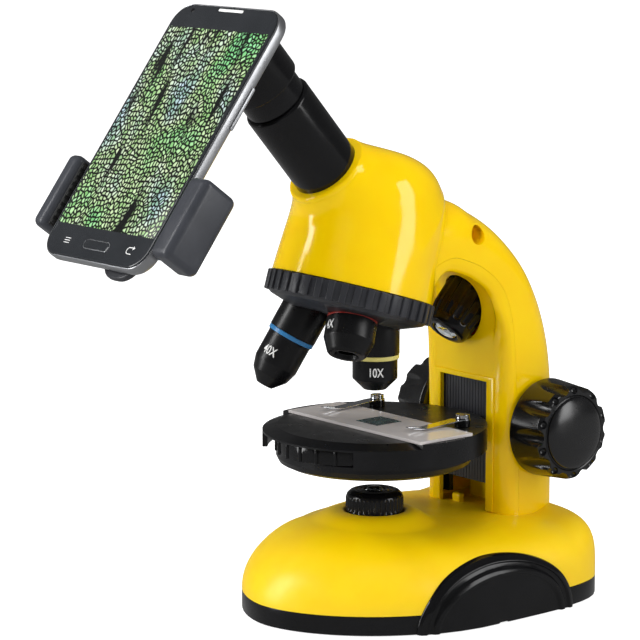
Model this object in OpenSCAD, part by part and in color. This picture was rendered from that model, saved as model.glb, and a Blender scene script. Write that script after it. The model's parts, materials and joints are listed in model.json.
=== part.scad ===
// Kids microscope with a phone holder, in millimetres.
// X is the user's right, +Y runs back towards the arm, Z is up.
// The origin is on the table, straight under the optical axis.

/* [Base] */
// half of the base's width
base_half = 53; // [51:0.5:55]
// height of the dome at the front
dome_front = 37.3; // [36.8:0.1:37.8]
// height of the dome by the column
dome_low = 31; // [30.6:0.1:31.4]

/* [Arm and head] */
// half of the arm's width
arm_half = 24; // [23:0.25:25]
// wall of the yellow housings
wall = 2.6; // [2:0.1:3]
// rise of the eyepiece tube over the horizon, degrees
tube_rise = 48.5; // [45:0.5:50]
// outer radius of the eyepiece tube
tube_r = 12.7; // [12.2:0.1:13.5]

/* [Turret] */
// tilt of the turret, degrees
turret_tilt = 17; // [16:0.5:18]
// outer radius of the grip ring
turret_r = 31.5; // [30.5:0.25:33]
// grip ribs on the ring
turret_ribs = 40; // [30:2:48]

/* [Stage] */
// outer radius of the stage
stage_r = 42.1; // [41.5:0.1:43]
// height of the slide's upper face
slide_z = 70; // [69:0.25:71]

/* [Focus drive] */
// module of the rack and the pinion
gear_module = 1; // [1:0.05:1.1]
// scallops round a focus knob
knob_flutes = 10; // [8:1:12]
// outer radius of a focus knob
knob_r = 18.8; // [17:0.2:19.4]

/* [Phone holder] */
// rise of the phone's face normal over the horizon, degrees
phone_rise = 36.7; // [34:0.5:40]
// phone width
phone_w = 60.6; // [58:0.2:66]
// phone height
phone_h = 105.6; // [101:0.2:112]
// phone thickness
phone_t = 5.4; // [5:0.2:7]

/* [Fit] */
// radial clearance of a shaft in its bore
run_gap = 0.05; // [0.03:0.01:0.08]
// gap between pieces that move against each other
part_gap = 0.3; // [0.25:0.05:0.4]
// seam between pieces that are fixed together
seam = 0.1; // [0.05:0.01:0.12]

/* [Hidden] */
$fn = 64;
eps = 0.01;

yellow = [0.96, 0.79, 0.05];
black = [0.06, 0.06, 0.065];
satin = [0.1, 0.1, 0.11];
charcoal = [0.2, 0.2, 0.22];
chrome = [0.8, 0.8, 0.82];
clear = [0.85, 0.9, 0.92];

// base outline: two half superellipses that meet at base_mid
base_mid = 9.4;
nose = 62.6;
tail = 71.6;
front_power = 1.82;
rear_power = 4.7;
foot_h = 0.4;
rim_top = 7.5;
seat_z = 36;
seat_r = 13.9;
seat_run = 24.3;
lamp_hole = 11.3;
plate_floor = 2.4;
plate_wall = 2.2;
foot_r = 5.5;
feet = [[-25, -35], [25, -35], [-36, 64], [36, 64], [0, 0]];

function clamp01(t) = min(1, max(0, t));
function smooth(t) = let(c = clamp01(t)) c * c * (3 - 2 * c);
function lerp(a, b, t) = a + (b - a) * t;
function quad(a, b, c, d) = [[a, b, c], [a, c, d]];

// Catmull-Rom curve through the points, in n steps
function bend(a, b, c, d, t) = 0.5 * (2 * b + (c - a) * t + (2 * a - 5 * b + 4 * c - d) * t * t
    + (3 * b - a - 3 * c + d) * t * t * t);
function along(p, u) = let(i = min(floor(u), len(p) - 2), m = len(p) - 1)
    bend(p[max(i - 1, 0)], p[i], p[i + 1], p[min(i + 2, m)], u - i);
function curve(p, n) = [for (k = [0:n]) along(p, k / n * (len(p) - 1))];

// length and power of the outline's half that holds y
function reach(y) = y < base_mid ? nose : tail;
function power(y) = y < base_mid ? front_power : rear_power;
// how far out a point is: 0 in the middle, 1 on the outline grown by g
function outness(x, y, g) = let(n = power(y))
    pow(pow(abs(x) / (base_half + g), n) + pow(abs(y - base_mid) / (reach(y) + g), n), 1 / n);
function outline_pt(a, g) = let(x = sin(a), y = -cos(a), n = y < 0 ? front_power : rear_power,
    b = (y < 0 ? nose : tail) + g,
    r = 1 / pow(pow(abs(x) / (base_half + g), n) + pow(abs(y) / b, n), 1 / n))
    [r * x, base_mid + r * y];
function outline(g, k) = [for (i = [0:k - 1]) outline_pt(360 * i / k, g)];

// how square the dome's section is: round at the nose, full at the column
function dome_power(y) = lerp(2.07, 4.05, smooth((y + 12.3) / 39));
// the dome's height in the middle: it falls to the column, and rises behind it
function dome_top(y) = lerp(dome_front, dome_low, smooth((y + 20.3) / 34)) + 6.4 * smooth((y - 56) / 18.6);
// height of the dome's surface moved in by g
function dome_z(x, y, g) = let(s = min(1, outness(x, y, -g)), top = dome_top(y) - g, q = dome_power(y),
    z = rim_top + (top - rim_top) * pow(1 - pow(s, q), 1 / q),
    near = 1 - smooth((norm([x, y]) - seat_r) / (seat_run - seat_r)))
    lerp(z, seat_z - g, near);
// how wide the base is at a height, at y
function side_x(y, z) = let(n = power(y), h = clamp01((z - rim_top) / (dome_top(y) - rim_top)),
    q = dome_power(y), s = pow(1 - pow(h, q), 1 / q))
    base_half * pow(max(0.01, pow(s, n) - pow(abs(y - base_mid) / reach(y), n)), 1 / n);

// closed thick skin between two grids of points, its rows open or joined round
module thick_skin(front, back, joined = false) {
    m = len(front);
    n = len(front[0]);
    b = m * n;
    cols = joined ? n : n - 1;
    points = concat([for (r = front) for (p = r) p], [for (r = back) for (p = r) p]);
    faces = [
        for (i = [0:m - 2]) for (j = [0:cols - 1]) let(k = (j + 1) % n) each concat(
            quad(i * n + j, i * n + k, i * n + n + k, i * n + n + j),
            quad(b + i * n + j, b + i * n + n + j, b + i * n + n + k, b + i * n + k)),
        for (j = [0:cols - 1]) let(k = (j + 1) % n, e = (m - 1) * n) each concat(
            quad(j, b + j, b + k, k),
            quad(e + j, e + k, b + e + k, b + e + j)),
        if (!joined) for (i = [0:m - 2]) let(p = i * n, q = p + n) each concat(
            quad(p, q, b + q, b + p),
            quad(p + n - 1, b + p + n - 1, b + q + n - 1, q + n - 1))
    ];
    polyhedron(points = points, faces = faces, convexity = 12);
}

// the same for a dome whose last rows close on a point each
module domed_skin(front, back, front_pole, back_pole) {
    m = len(front);
    n = len(front[0]);
    b = m * n;
    e = (m - 1) * n;
    points = concat([for (r = front) for (p = r) p], [for (r = back) for (p = r) p],
        [front_pole, back_pole]);
    faces = [
        for (i = [0:m - 2]) for (j = [0:n - 1]) let(k = (j + 1) % n) each concat(
            quad(i * n + j, i * n + n + j, i * n + n + k, i * n + k),
            quad(b + i * n + j, b + i * n + k, b + i * n + n + k, b + i * n + n + j)),
        for (j = [0:n - 1]) let(k = (j + 1) % n) each concat(quad(j, k, b + k, b + j),
            [[e + j, 2 * b, e + k], [b + e + j, b + e + k, 2 * b + 1]])
    ];
    polyhedron(points = points, faces = faces, convexity = 12);
}

// a box between two corners
module block(a, b) translate(a) cube(b - a);
// a tube or a rod along Z
module rod(r, a, b) translate([0, 0, a]) cylinder(r = r, h = b - a);
// a rod along X
module rod_x(r, a, b, y, z) translate([a, y, z]) rotate([0, 90, 0]) cylinder(r = r, h = b - a);
// a flat rounded rectangle
module slab(x, y, r) {
    square([2 * x - 2 * r, 2 * y], center = true);
    square([2 * x, 2 * y - 2 * r], center = true);
    for (i = [-1, 1]) for (j = [-1, 1]) translate([i * (x - r), j * (y - r)]) circle(r);
}
// a box with all edges rounded in two directions
module soft_block(a, b, r) {
    c = (a + b) / 2;
    h = (b - a) / 2;
    translate(c) intersection() {
        translate([0, 0, -h[2]]) linear_extrude(2 * h[2]) slab(h[0], h[1], r);
        translate([0, h[1], 0]) rotate([90, 0, 0]) linear_extrude(2 * h[1]) slab(h[0], h[2], r);
    }
}

// Base

cell_r = 7.1;
cell_l = 49;
cell_step = 15;
cell_y = 44;
tray_x = 1.5 * cell_step + 0.5;
tray_y = cell_l / 2 + 1.5;
floor_z = foot_h + plate_floor;
cell_z = floor_z + 0.3 + cell_r;
post_r = 8.5;
post_top = 31;
stem_r = 4;

module base_plate() color(black) {
    difference() {
        translate([0, 0, foot_h]) linear_extrude(rim_top - foot_h) polygon(outline(0, 96));
        translate([0, 0, floor_z]) linear_extrude(rim_top) polygon(outline(-plate_wall, 96));
        block([-tray_x, cell_y - tray_y, 0], [tray_x, cell_y + tray_y, floor_z + 1]);
        for (p = feet) translate(p) rod(foot_r + seam, 0, foot_h + 0.4);
    }
    difference() {
        rod(post_r, floor_z - eps, post_top);
        rod(stem_r + run_gap, floor_z + 6, post_top + 1);
    }
}

module base_shell() {
    rows = [90, 78, 67, 57, 48, 40, 32, 25, 18, 12, 7];
    k = 72;
    function skin(g) = [for (w = rows) [for (i = [0:k - 1])
        let(p = outline_pt(360 * i / k, -g), s = pow(sin(w), 2 / dome_power(p[1])),
            x = p[0] * s, y = base_mid + (p[1] - base_mid) * s)
        [x, y, w == 90 ? rim_top + seam : dome_z(x, y, g)]]];
    color(yellow) difference() {
        domed_skin(skin(0), skin(wall), [0, base_mid, dome_z(0, base_mid, 0)],
            [0, base_mid, dome_z(0, base_mid, wall)]);
        rod(lamp_hole, 20, 50);
    }
}

// black arch on the base's side: two ribs over a flat field
module side_arch() {
    mid = 17;
    // share of the arch's size, and how far that line stands off the base
    lines = [[1, 0.6], [0.985, 1.7], [0.93, 2.1], [0.915, 1.1], [0.87, 1], [0.855, 1.9], [0.8, 1.8],
        [0.785, 0.8], [0.55, 0.8], [0.3, 0.8], [0.06, 0.8]];
    function line(s, off) = [for (i = [0:28]) let(a = 180 * i / 28,
        y = mid + 35.8 * s * cos(a), z = foot_h + 25 * pow(s, 1.4) * sin(a))
        [side_x(y, z) + off, y, z]];
    color(black) thick_skin([for (l = lines) line(l[0], l[1])], [for (l = lines) line(l[0], 0.42)]);
}
module side_arch_right() side_arch();
module side_arch_left() mirror([1, 0, 0]) side_arch();

module rubber_feet() color(satin) for (p = feet) translate(p) rod(foot_r, 0, foot_h + 0.4);

module battery_tray() color(black) difference() {
    block([-tray_x - 2, cell_y - tray_y - 2, floor_z], [tray_x + 2, cell_y + tray_y + 2, cell_z + 3]);
    block([-tray_x, cell_y - tray_y, 0], [tray_x, cell_y + tray_y, 50]);
}
module battery_cells() color(chrome) for (i = [-1:1])
    translate([i * cell_step, cell_y + cell_l / 2, cell_z]) rotate([90, 0, 0]) {
        rod(cell_r, 0, cell_l - 1);
        rod(2.6, cell_l - 1 - eps, cell_l);
    }
module battery_door() color(black)
    block([-tray_x + 0.2, cell_y - tray_y + 0.2, foot_h], [tray_x - 0.2, cell_y + tray_y - 0.2, floor_z]);

// Arm: each section runs from a lip on the inside of the arch to the crown on its back

lip = [[51.8, 32], [51.5, 46], [50.8, 62], [49.9, 80], [48.9, 95], [46.8, 108.5], [42, 119.2],
    [34, 126.2], [25.5, 130.3], [16, 132.3], [5.4, 127.4], [1, 117]];
crown = [[77.8, 32], [77.8, 46], [77.8, 62], [77.3, 80], [74.6, 96], [68.8, 111.5], [60, 126.2],
    [47.6, 139.2], [35, 147.6], [22, 152.6], [-8, 148], [-26, 128]];
// middle of the cover inside the arch, at the same sections
inside = [[45.1, 32], [45.1, 46], [45.1, 62], [45.1, 80], [44.9, 93.2], [44.8, 104.2], [42.4, 116.4],
    [35.2, 128.4], [26.3, 134.2], [17.3, 136.6], [3.2, 130.8], [-1.8, 118.1]];
arm_steps = 33;
flat_share = 0.25;
arm_power = 2.6;
lips = curve(lip, arm_steps);
crowns = curve(crown, arm_steps);
insides = curve(inside, arm_steps);
// the lowest section stands on the base
function on_base(p, low) = low ? [p[0], p[1], dome_z(p[0], p[1], 0) + 3.5 * seam] : p;
// a point of section i, at x and at a share of the way from the lip to the crown
function arm_pt(i, x, a) = let(q = lerp(lips[i], crowns[i], a)) on_base([x, q[0], q[1]], i == 0);

knob_y = 63.5;
knob_z = 63.3;
shaft_r = 3;
boss_y = 30.2;
boss_z = 139.7;
screw_r = 3.6;

module arm_half_shell(side) {
    angles = [0, 12, 24, 36, 48, 60, 70, 80, 90];
    function arc(i, g) = let(d = norm(crowns[i] - lips[i]), k = 2 / arm_power) concat(
        [arm_pt(i, side * (arm_half - g), 0)],
        [for (w = angles) let(a = lerp(flat_share, 1 - g / d, pow(sin(w), k)))
            arm_pt(i, w == 90 ? side * seam / 2 : side * ((arm_half - g) * pow(cos(w), k)), a)]);
    outer = [for (i = [0:arm_steps]) arc(i, 0)];
    inner = [for (i = [0:arm_steps]) arc(i, wall)];
    difference() {
        if (side > 0) thick_skin(outer, inner);
        else thick_skin(inner, outer);
        head_solid(seam);
        over_ring();
        rod_x(shaft_r + run_gap, side > 0 ? 10 : -40, side > 0 ? 40 : -10, knob_y, knob_z);
        if (side > 0) rod_x(screw_r, 10, 40, boss_y, boss_z);
    }
}
module arm_shell_right() color(yellow) arm_half_shell(1);
module arm_shell_left() color(yellow) arm_half_shell(-1);

slot_x = 13;
slot_top = 81;
cover_t = 1.1;
cover_y = inside[1][0];
frame_low = dome_z(0, cover_y, 0) + 2 * seam;
lamp_pitch = 48;
lamp_face = [0, 34.8, 99.7];
lamp_r = 9.7;
socket_r = 6.5;
module on_lamp() translate(lamp_face) rotate([lamp_pitch - 90, 0, 0]) children();

// room over the turret's ring, where the arch comes down to it
module over_ring() on_turret() rod(turret_r + 1.5, -70, head_low + 0.05);
module front_cover() {
    arm_in = arm_half - wall - 0.2;
    // x and depth of half a section over the column: proud of the lip and rounded off
    function rounded(half, g) = concat([for (w = [0, 20, 42, 66, 90])
        [17 + (half - 17) * cos(w), g * sin(w)]], [[15.2, g], [8.5, g], [0, g]]);
    // and in the arch: a rounded lip that hangs by h, then a hollow
    function hollow_pts(g, h) = [[arm_half, 0], [arm_half - 0.4, -0.46 * h], [arm_half - 1.4, -0.85 * h],
        [arm_half - 3, -h], [arm_half - 4.6, -0.8 * h], [16.6, 0.5 * g], [10.5, 0.93 * g], [0, g]];
    function hollow_back(g, h) = [[arm_half - 1.2, 0], [arm_half - 1.7, -0.35 * h], [arm_half - 2.3, -0.56 * h],
        [arm_half - 3, -0.63 * h], [arm_half - 3.5, -0.46 * h], [arm_half - 5.7, 0.5 * g + 1.2],
        [10.8, 0.93 * g + cover_t], [0, g + cover_t]];
    function half(i, back) = let(u = i / arm_steps * 11, t = smooth((u - 3.9) / 1.5),
        g = (insides[i] - lips[i]) * (crowns[i] - lips[i]) / norm(crowns[i] - lips[i]),
        c = back ? rounded(arm_in, g + cover_t) : rounded(arm_half, g),
        hang = 5.2 + 3.3 * smooth((u - 8) / 3), h = back ? hollow_back(g, hang) : hollow_pts(g, hang))
        [for (j = [0:7]) lerp(c[j], h[j], t)];
    function place(i, p, x) = let(d = norm(crowns[i] - lips[i]),
        q = lerp(lips[i], crowns[i], (p[1] - seam) / d)) on_base([x, q[0], q[1]], i == 0);
    function section(i, back) = let(h = half(i, back)) concat([for (j = [0:7]) place(i, h[j], h[j][0])],
        [for (j = [6:-1:0]) place(i, h[j], -h[j][0])]);
    color(yellow) difference() {
        thick_skin([for (i = [0:arm_steps]) section(i, true)], [for (i = [0:arm_steps]) section(i, false)]);
        head_solid(seam);
        over_ring();
        block([-slot_x, 30, 20], [slot_x, 60, slot_top]);
        block([-30, -60, 90], [30, 8.45, 140]);
        on_lamp() rod(lamp_r + 0.4, 0, lamp_back + 2);
        on_lamp() rod(socket_r + 0.4, 0, 34);
    }
}

module slot_frame() color(yellow) difference() {
    block([-17, cover_y - 0.8, frame_low], [17, cover_y - 0.15, 83]);
    block([-slot_x, 30, 20], [slot_x, 60, slot_top]);
}

// Focus slider and its rails

slider_y = cover_y + cover_t + part_gap;
slider_t = 2.5;
slider_x = 15.4;
slider_low = 41;
slider_top = 85.5;

module column_rails() color(satin) for (s = [-1, 1]) scale([s, 1, 1]) {
    guide_y = slider_y + slider_t + part_gap;
    block([slider_x + part_gap, slider_y - 0.1, 33.5], [17.2, guide_y + 2, 86]);
    block([13, guide_y, 33.5], [slider_x + part_gap + eps, guide_y + 2, 86]);
}

gear_teeth = 10;
gear_r = gear_module * gear_teeth / 2;
gear_pitch = PI * gear_module;
tooth_half = 0.19 * gear_pitch;
tooth_up = 0.85 * gear_module;
tooth_down = 1.1 * gear_module;
rack_y = knob_y - gear_r;

module stage_slider() color(charcoal) {
    difference() {
        block([-slider_x, slider_y, slider_low], [slider_x, slider_y + slider_t, slider_top]);
        for (i = [-8:8]) block([i * 1.6 - 0.18, slider_y - 1, slider_low - 1],
            [i * 1.6 + 0.18, slider_y + 0.25, slider_top + 1]);
    }
    block([-4, slider_y + slider_t - eps, 46], [4, rack_y - tooth_down, 81]);
    half_up = tooth_half - tooth_up * tan(20);
    half_down = tooth_half + tooth_down * tan(20);
    for (k = [-5:4]) translate([-4, 0, knob_z + (k + 0.5) * gear_pitch]) rotate([90, 0, 90])
        linear_extrude(8) polygon([[rack_y - tooth_down - eps, -half_down], [rack_y + tooth_up, -half_up],
            [rack_y + tooth_up, half_up], [rack_y - tooth_down - eps, half_down]]);
}

module focus_shaft() color(chrome) {
    shaft_half = knob_x + knob_bore - seam;
    rod_x(shaft_r, -shaft_half, shaft_half, knob_y, knob_z);
    tip = tooth_half - tooth_up * tan(20);
    root = tooth_half + 0.25 * gear_module;
    translate([-3.6, knob_y, knob_z]) rotate([90, 0, 90]) linear_extrude(7.2) {
        circle(gear_r - tooth_down);
        for (k = [0:gear_teeth - 1]) rotate(180 + 360 / gear_teeth * k)
            polygon([[gear_r - tooth_down - 0.3, -root], [gear_r, -tooth_half], [gear_r + tooth_up, -tip],
                [gear_r + tooth_up, tip], [gear_r, tooth_half], [gear_r - tooth_down - 0.3, root]]);
    }
}

knob_bore = 15;
module knob() {
    bore = shaft_r + run_gap;
    difference() {
        rotate_extrude() polygon([[bore, 0], [knob_r - 1.2, 0], [knob_r, 1.2], [knob_r - 1, 15],
            [knob_r - 2.4, 16.6], [knob_r - 3.6, 16.6], [knob_r - 4, 16.2], [knob_r - 5, 17.6],
            [knob_r - 8, 18.9], [knob_r - 11, 19.5], [0, 19.8], [0, knob_bore], [bore, knob_bore]]);
        for (k = [0:knob_flutes - 1]) rotate(360 / knob_flutes * (k + 0.5))
            translate([knob_r + 1.6, 0, 3]) rotate([0, -3, 0]) cylinder(r = 3.4, h = 20);
        for (k = [0:knob_flutes - 1]) rotate(360 / knob_flutes * k)
            translate([knob_r - 2.5, 0, 16.2]) cylinder(r = 0.9, h = 5);
    }
}
knob_x = arm_half + 0.7;
module focus_knob_right() color(black) translate([knob_x, knob_y, knob_z]) rotate([0, 90, 0]) knob();
module focus_knob_left() color(black) translate([-knob_x, knob_y, knob_z]) rotate([0, -90, 0]) knob();

// Head, turret and objectives

apex_z = 158.8;
ring_low = -46.5;
ring_high = -39.1;
head_low = ring_high + part_gap;
pin_r = 3;
tube_z = 139.5;
tube_low = 21;
tube_top = 70.8;
head_line = [[30.2, head_low], [29.6, -30], [28.8, -20], [27.9, -10], [27, -5], [25.8, -0.5], [24.2, 3.2],
    [22, 6.4], [18.8, 9.3], [15, 11.3], [10.4, 12.6], [5, 13.2], [0, 13.4]];
module on_turret() translate([0, 0, apex_z]) rotate([-turret_tilt, 0, 0]) children();
// z runs along the tube, x is X
module on_tube() translate([0, 0, tube_z]) rotate([90 - tube_rise, 0, 0]) children();
// z runs down an objective from the apex, number 0 is over the stage
module on_objective(k) on_turret() rotate(120 * k) rotate([turret_tilt + 180, 0, 0]) children();

module head_solid(g) on_turret() rotate_extrude() polygon(concat([[0, head_low]],
    [for (p = head_line) [p[0] > 0 ? p[0] + g : 0, p[1] > 13.3 ? p[1] + g : p[1]]]));
module head_housing() color(yellow) difference() {
    union() {
        head_solid(0);
        on_tube() rotate_extrude() polygon([[0, 16], [20, 16], [18, 24], [16.2, 29], [15.2, 32], [15, 33.2],
            [15.6, 34], [15.6, 35.2], [14.8, 35.8], [0, 35.8]]);
    }
    on_turret() rotate_extrude() polygon(concat(
        [[0, head_low - 1], [head_line[0][0] - wall, head_low - 1]],
        [for (p = head_line) if (p[0] > 4) [p[0] - wall, p[1] - wall * clamp01((p[1] + 10) / 15)]],
        [[0, 13.4 - wall]]));
    on_tube() rod(tube_r + run_gap, 10, 60);
}

prism_h = 8.5;
// the plate carries the turret's pin below and the prism's cradle above
module turret_plate() color(satin) {
    difference() {
        block([-prism_h, -prism_h, 100], [prism_h, 5, tube_z - prism_h]);
        block([-6.5, -6.5, 90], [6.5, 3, tube_z]);
        on_turret() rod(60, -90, head_low + 1);
    }
    plate_and_pin();
}
module plate_and_pin() on_turret() {
    difference() {
        rod(head_line[0][0] - wall - part_gap, head_low, head_low + 2);
        rotate([turret_tilt, 0, 0]) rod(6, -60, 0);
    }
    rod(pin_r, ring_low - 4.8, head_low + eps);
    rod(5.4, ring_low - 6.4, ring_low - 4.8 + eps);
}
module prism() color(clear) difference() {
    block([-prism_h, -prism_h, tube_z - prism_h], [prism_h, prism_h, tube_z + prism_h]);
    translate([0, 0, tube_z]) rotate([-tube_rise / 2 - 45, 0, 0]) block([-20, -40, 0], [20, 40, 40]);
}
module eyepiece_tube() color(satin) on_tube() difference() {
    rotate_extrude() polygon([[9.6, tube_low], [tube_r, tube_low], [tube_r, tube_top - 0.8],
        [tube_r - 0.8, tube_top], [9.6, tube_top]]);
    rod(barrel_r + run_gap, 45, tube_top + 1);
}

seat_d = 50.5;
module turret_disc() color(charcoal) difference() {
    union() {
        on_turret() {
            translate([0, 0, ring_low]) linear_extrude(ring_high - ring_low) {
                circle(turret_r - 0.9);
                for (k = [0:turret_ribs - 1]) rotate(360 / turret_ribs * k)
                    translate([turret_r - 1.6, -1.3]) square([1.6, 2.6]);
            }
            rotate_extrude() polygon([[0, ring_low + eps], [29.4, ring_low + eps], [28.6, ring_low - 1],
                [20, ring_low - 4], [0, ring_low - 4]]);
        }
        for (k = [0:2]) on_objective(k) rod(9.7, seat_d - 6.5, seat_d);
    }
    for (k = [0:2]) on_objective(k) {
        rod(6 + run_gap, 30, seat_d + 9);
        rod(9.3 + part_gap, seat_d, seat_d + 20);
    }
    on_turret() rod(pin_r + run_gap, -60, 0);
    on_turret() rod(5.4 + part_gap, -60, ring_low - 4.8 + part_gap);
    on_turret() rod(26, ring_high - 1.5, ring_high + 1);
}

// an objective's outline: radius and distance from its seat
shoulder = [[3, -7], [6, -7], [6, 0]];
module objective(line) color(black) translate([0, 0, seat_d]) rotate_extrude()
    polygon(concat([[3, line[len(line) - 1][1]]], shoulder, line));
band_w = 1.6;
band_in = 8;
lens_r = 2.2;
module band(r, d) translate([0, 0, seat_d]) rotate_extrude() polygon([[band_in, d], [r, d], [r, d + band_w], [band_in, d + band_w]]);
d4 = 1.9;
d10 = 12.9;
d40 = 12.9;
module objective_4x() on_objective(2) objective([[9.3, 0], [9.3, d4], [band_in, d4],
    [band_in, d4 + band_w], [9.3, d4 + band_w], [9.3, 11.1], [9, 11.7], [7.2, 16.1], [6.6, 16.7], [4.6, 16.7],
    [4.2, 15.1], [3, 15.1]]);
module objective_10x() on_objective(0) objective([[9.2, 0], [9.2, d10], [band_in, d10],
    [band_in, d10 + band_w], [8.6, d10 + band_w], [8.45, 15.5], [8.45, 22.1], [4.2, 26.3], [3, 26.3]]);
module objective_40x() on_objective(1) objective([[9.1, 0], [9.1, d40], [band_in, d40],
    [band_in, d40 + band_w], [8.6, d40 + band_w], [8.4, 15.3], [8.4, 25.7], [7, 30.1], [3.2, 34.5], [3, 34.5]]);
module band_4x() color([0.5, 0.13, 0.1]) on_objective(2) band(9.2, d4);
module band_10x() color([0.8, 0.75, 0.3]) on_objective(0) band(9.1, d10);
module band_40x() color([0.1, 0.4, 0.7]) on_objective(1) band(9, d40);
module objective_lenses() color(clear) {
    on_objective(2) rod(3, seat_d + 12.5, seat_d + 13.9);
    on_objective(0) rod(3, seat_d + 23.5, seat_d + 24.9);
    on_objective(1) rod(3, seat_d + 31.5, seat_d + 32.9);
}

// Eyepiece

barrel_r = 11.1;
cup_r = 11.6;
eyepiece_top = 88;
module eyepiece_barrel() color(black) on_tube() rotate_extrude() polygon([[9, 48], [barrel_r, 48],
    [barrel_r, tube_top + part_gap], [cup_r, tube_top + part_gap], [cup_r, eyepiece_top - 1],
    [cup_r - 1, eyepiece_top], [9, eyepiece_top]]);
module eyepiece_lens() color(clear) on_tube() rotate_extrude()
    polygon([[0, 80], [8.95, 81], [8.95, 82.4], [6, 83.6], [0, 84.2]]);

// Stage

stage_flat = 1.2;
deck = slide_z - stage_flat;
skirt_low = deck - 8.9;
under_low = skirt_low - 5.7;
deck_t = 2.4;
wheel_y = -11;
wheel_r = 28.2;
wheel_low = skirt_low + part_gap;
wheel_top = deck - deck_t - part_gap;
light_r = 8;
gel_r = 4.4;
clip_x = 24.5;
clip_y = 22;

module stage_top() color(satin) difference() {
    rod(stage_r, skirt_low, deck);
    difference() {
        rod(stage_r - 2, skirt_low - 1, deck - deck_t);
        block([-30, 19, skirt_low - 2], [30, 60, deck]);
    }
    rod(light_r, 0, 100);
    // bevel round the front
    intersection() {
        block([-60, -60, 0], [60, -11.6, 100]);
        rotate_extrude() polygon([[stage_r - 5.6, deck], [stage_r - 5.6, deck + 1], [stage_r + 1, deck + 1],
            [stage_r + 1, deck - 2]]);
    }
    // window for the filter wheel
    intersection() {
        rod(stage_r + 1, skirt_low - 1, deck - deck_t);
        linear_extrude(100) polygon([[0, 0], [60 * sin(-39), -60 * cos(39)], [0, -90],
            [60 * sin(39), -60 * cos(39)]]);
    }
    for (x = [-clip_x, clip_x]) translate([x, clip_y, 0]) rod(2.6, 0, 100);
}
module stage_under() color(satin) {
    difference() {
        rotate_extrude() polygon([[light_r, under_low], [33.5, under_low], [36, under_low + 1.2],
            [37, under_low + 3.2], [37, skirt_low], [light_r, skirt_low]]);
        for (x = [-clip_x, clip_x]) translate([x, clip_y, 0]) rod(2.6, skirt_low - 0.5, 100);
    }
    translate([0, wheel_y, 0]) rod(2, skirt_low - eps, wheel_top);
}
module stage_arm() color(satin) difference() {
    block([-10, 34, under_low + 1.5], [10, slider_y, deck - 1.6]);
    rod(stage_r + 0.02, skirt_low - 0.02, 100);
    rod(37.02, 0, skirt_low);
}
post_top_z = deck + 2.4;
module clip_posts() color(black) for (x = [-clip_x, clip_x]) translate([x, clip_y, 0]) difference() {
    union() {
        rod(2.6 - seam / 2, skirt_low - 0.5, deck + eps);
        rod(3, deck, post_top_z);
    }
    rod(1.2, deck - 4, 100);
}
leaf_t = 0.4;
leaf_z = post_top_z + 0.1;
module clip_screws() color(chrome) for (x = [-clip_x, clip_x]) translate([x, clip_y, 0]) difference() {
    union() {
        rod(1.2, deck - 4, post_top_z + 1);
        rod(2.6, leaf_z + leaf_t + 0.1, leaf_z + leaf_t + 1.7);
    }
    block([-0.35, -5, leaf_z + leaf_t + 1], [0.35, 5, 100]);
}
// spring leaf: a flat eye, a slope down to the slide, and a forked tip that turns up
module clip_leaf() {
    tip = slide_z + part_gap;
    under = [[0, leaf_z], [-4, leaf_z], [-19, tip], [-26, tip + 0.9]];
    over = [for (i = [3:-1:0]) under[i] + [0, leaf_t]];
    difference() {
        union() {
            translate([0, 0, leaf_z]) cylinder(r = 3, h = leaf_t);
            translate([-2.4, 0, 0]) rotate([90, 0, 90]) linear_extrude(4.8) polygon(concat(under, over));
        }
        rod(1.2 + run_gap, 0, 100);
        block([-0.9, -30, 0], [0.9, -20, 100]);
    }
}
module clip_right() color(chrome) translate([clip_x, clip_y, 0]) clip_leaf();
module clip_left() color(chrome) translate([-clip_x, clip_y, 0]) clip_leaf();

module filter_wheel() color(black) translate([0, wheel_y, 0]) difference() {
    union() {
        rod(wheel_r, wheel_low, wheel_top);
        for (k = [0:23]) rotate(15 * k + 7.5) translate([wheel_r, 0, 0]) rod(0.7, wheel_low, wheel_top);
    }
    rod(wheel_r - 2.4, wheel_low + 2, 100);
    rod(2 + run_gap, 0, 100);
    for (k = [0:5]) rotate(60 * k + 90) translate([-wheel_y, 0, 0]) rod(gel_r, 0, 100);
}
module filter_gels() color([0.3, 0.6, 0.9]) translate([0, wheel_y, 0]) for (k = [1:5])
    rotate(60 * k + 90) translate([-wheel_y, 0, 0]) rod(gel_r - seam / 2, wheel_low + 0.5, wheel_low + 1.5);

slide_x = 2.3;
slide_half = [38.1, 12.7];
module specimen_slide() color(clear) translate([slide_x, 0, 0])
    block([-slide_half[0], -slide_half[1], deck + run_gap], [slide_half[0], slide_half[1], slide_z]);
module cover_slip() color([0.1, 0.2, 0.2]) translate([slide_x, 0, 0])
    block([-6, -6, slide_z], [6, 6, slide_z + 0.17]);

// Phone and its holder

phone_c = [0, -97.9, 184.8];
// x is X, y runs up the phone, z comes out of its face
module on_phone() translate(phone_c) rotate([90 - phone_rise, 0, 0]) children();
// where the tube's axis meets the phone's face, measured up the phone
face_n = [-cos(phone_rise), sin(phone_rise)];
face_up = [sin(phone_rise), cos(phone_rise)];
to_phone = [phone_c[1], phone_c[2] - tube_z];
tube_dir = [-cos(tube_rise), sin(tube_rise)];
eye_y = ((to_phone * face_n) / (tube_dir * face_n) * tube_dir - to_phone) * face_up;
back_z = -phone_t - part_gap;
plate_t = 2.5;
guide_z = back_z - plate_t;
guide_t = 6.4;
guide_low = guide_z - guide_t;
collar_r = 13.3;
collar_low = 79;
rod_r = 1.2;
rod_z = guide_z - guide_t / 2;
jaw_foot = 1.2;
jaw_low = 6.3 - phone_h / 2;
jaw_high = jaw_low + 30.8;
rod_y = [jaw_low + 8.5, jaw_low + 20.5];
jaw_front = 2.9;
pad_t = 2;
grip_x = phone_w / 2 + part_gap;

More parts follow.
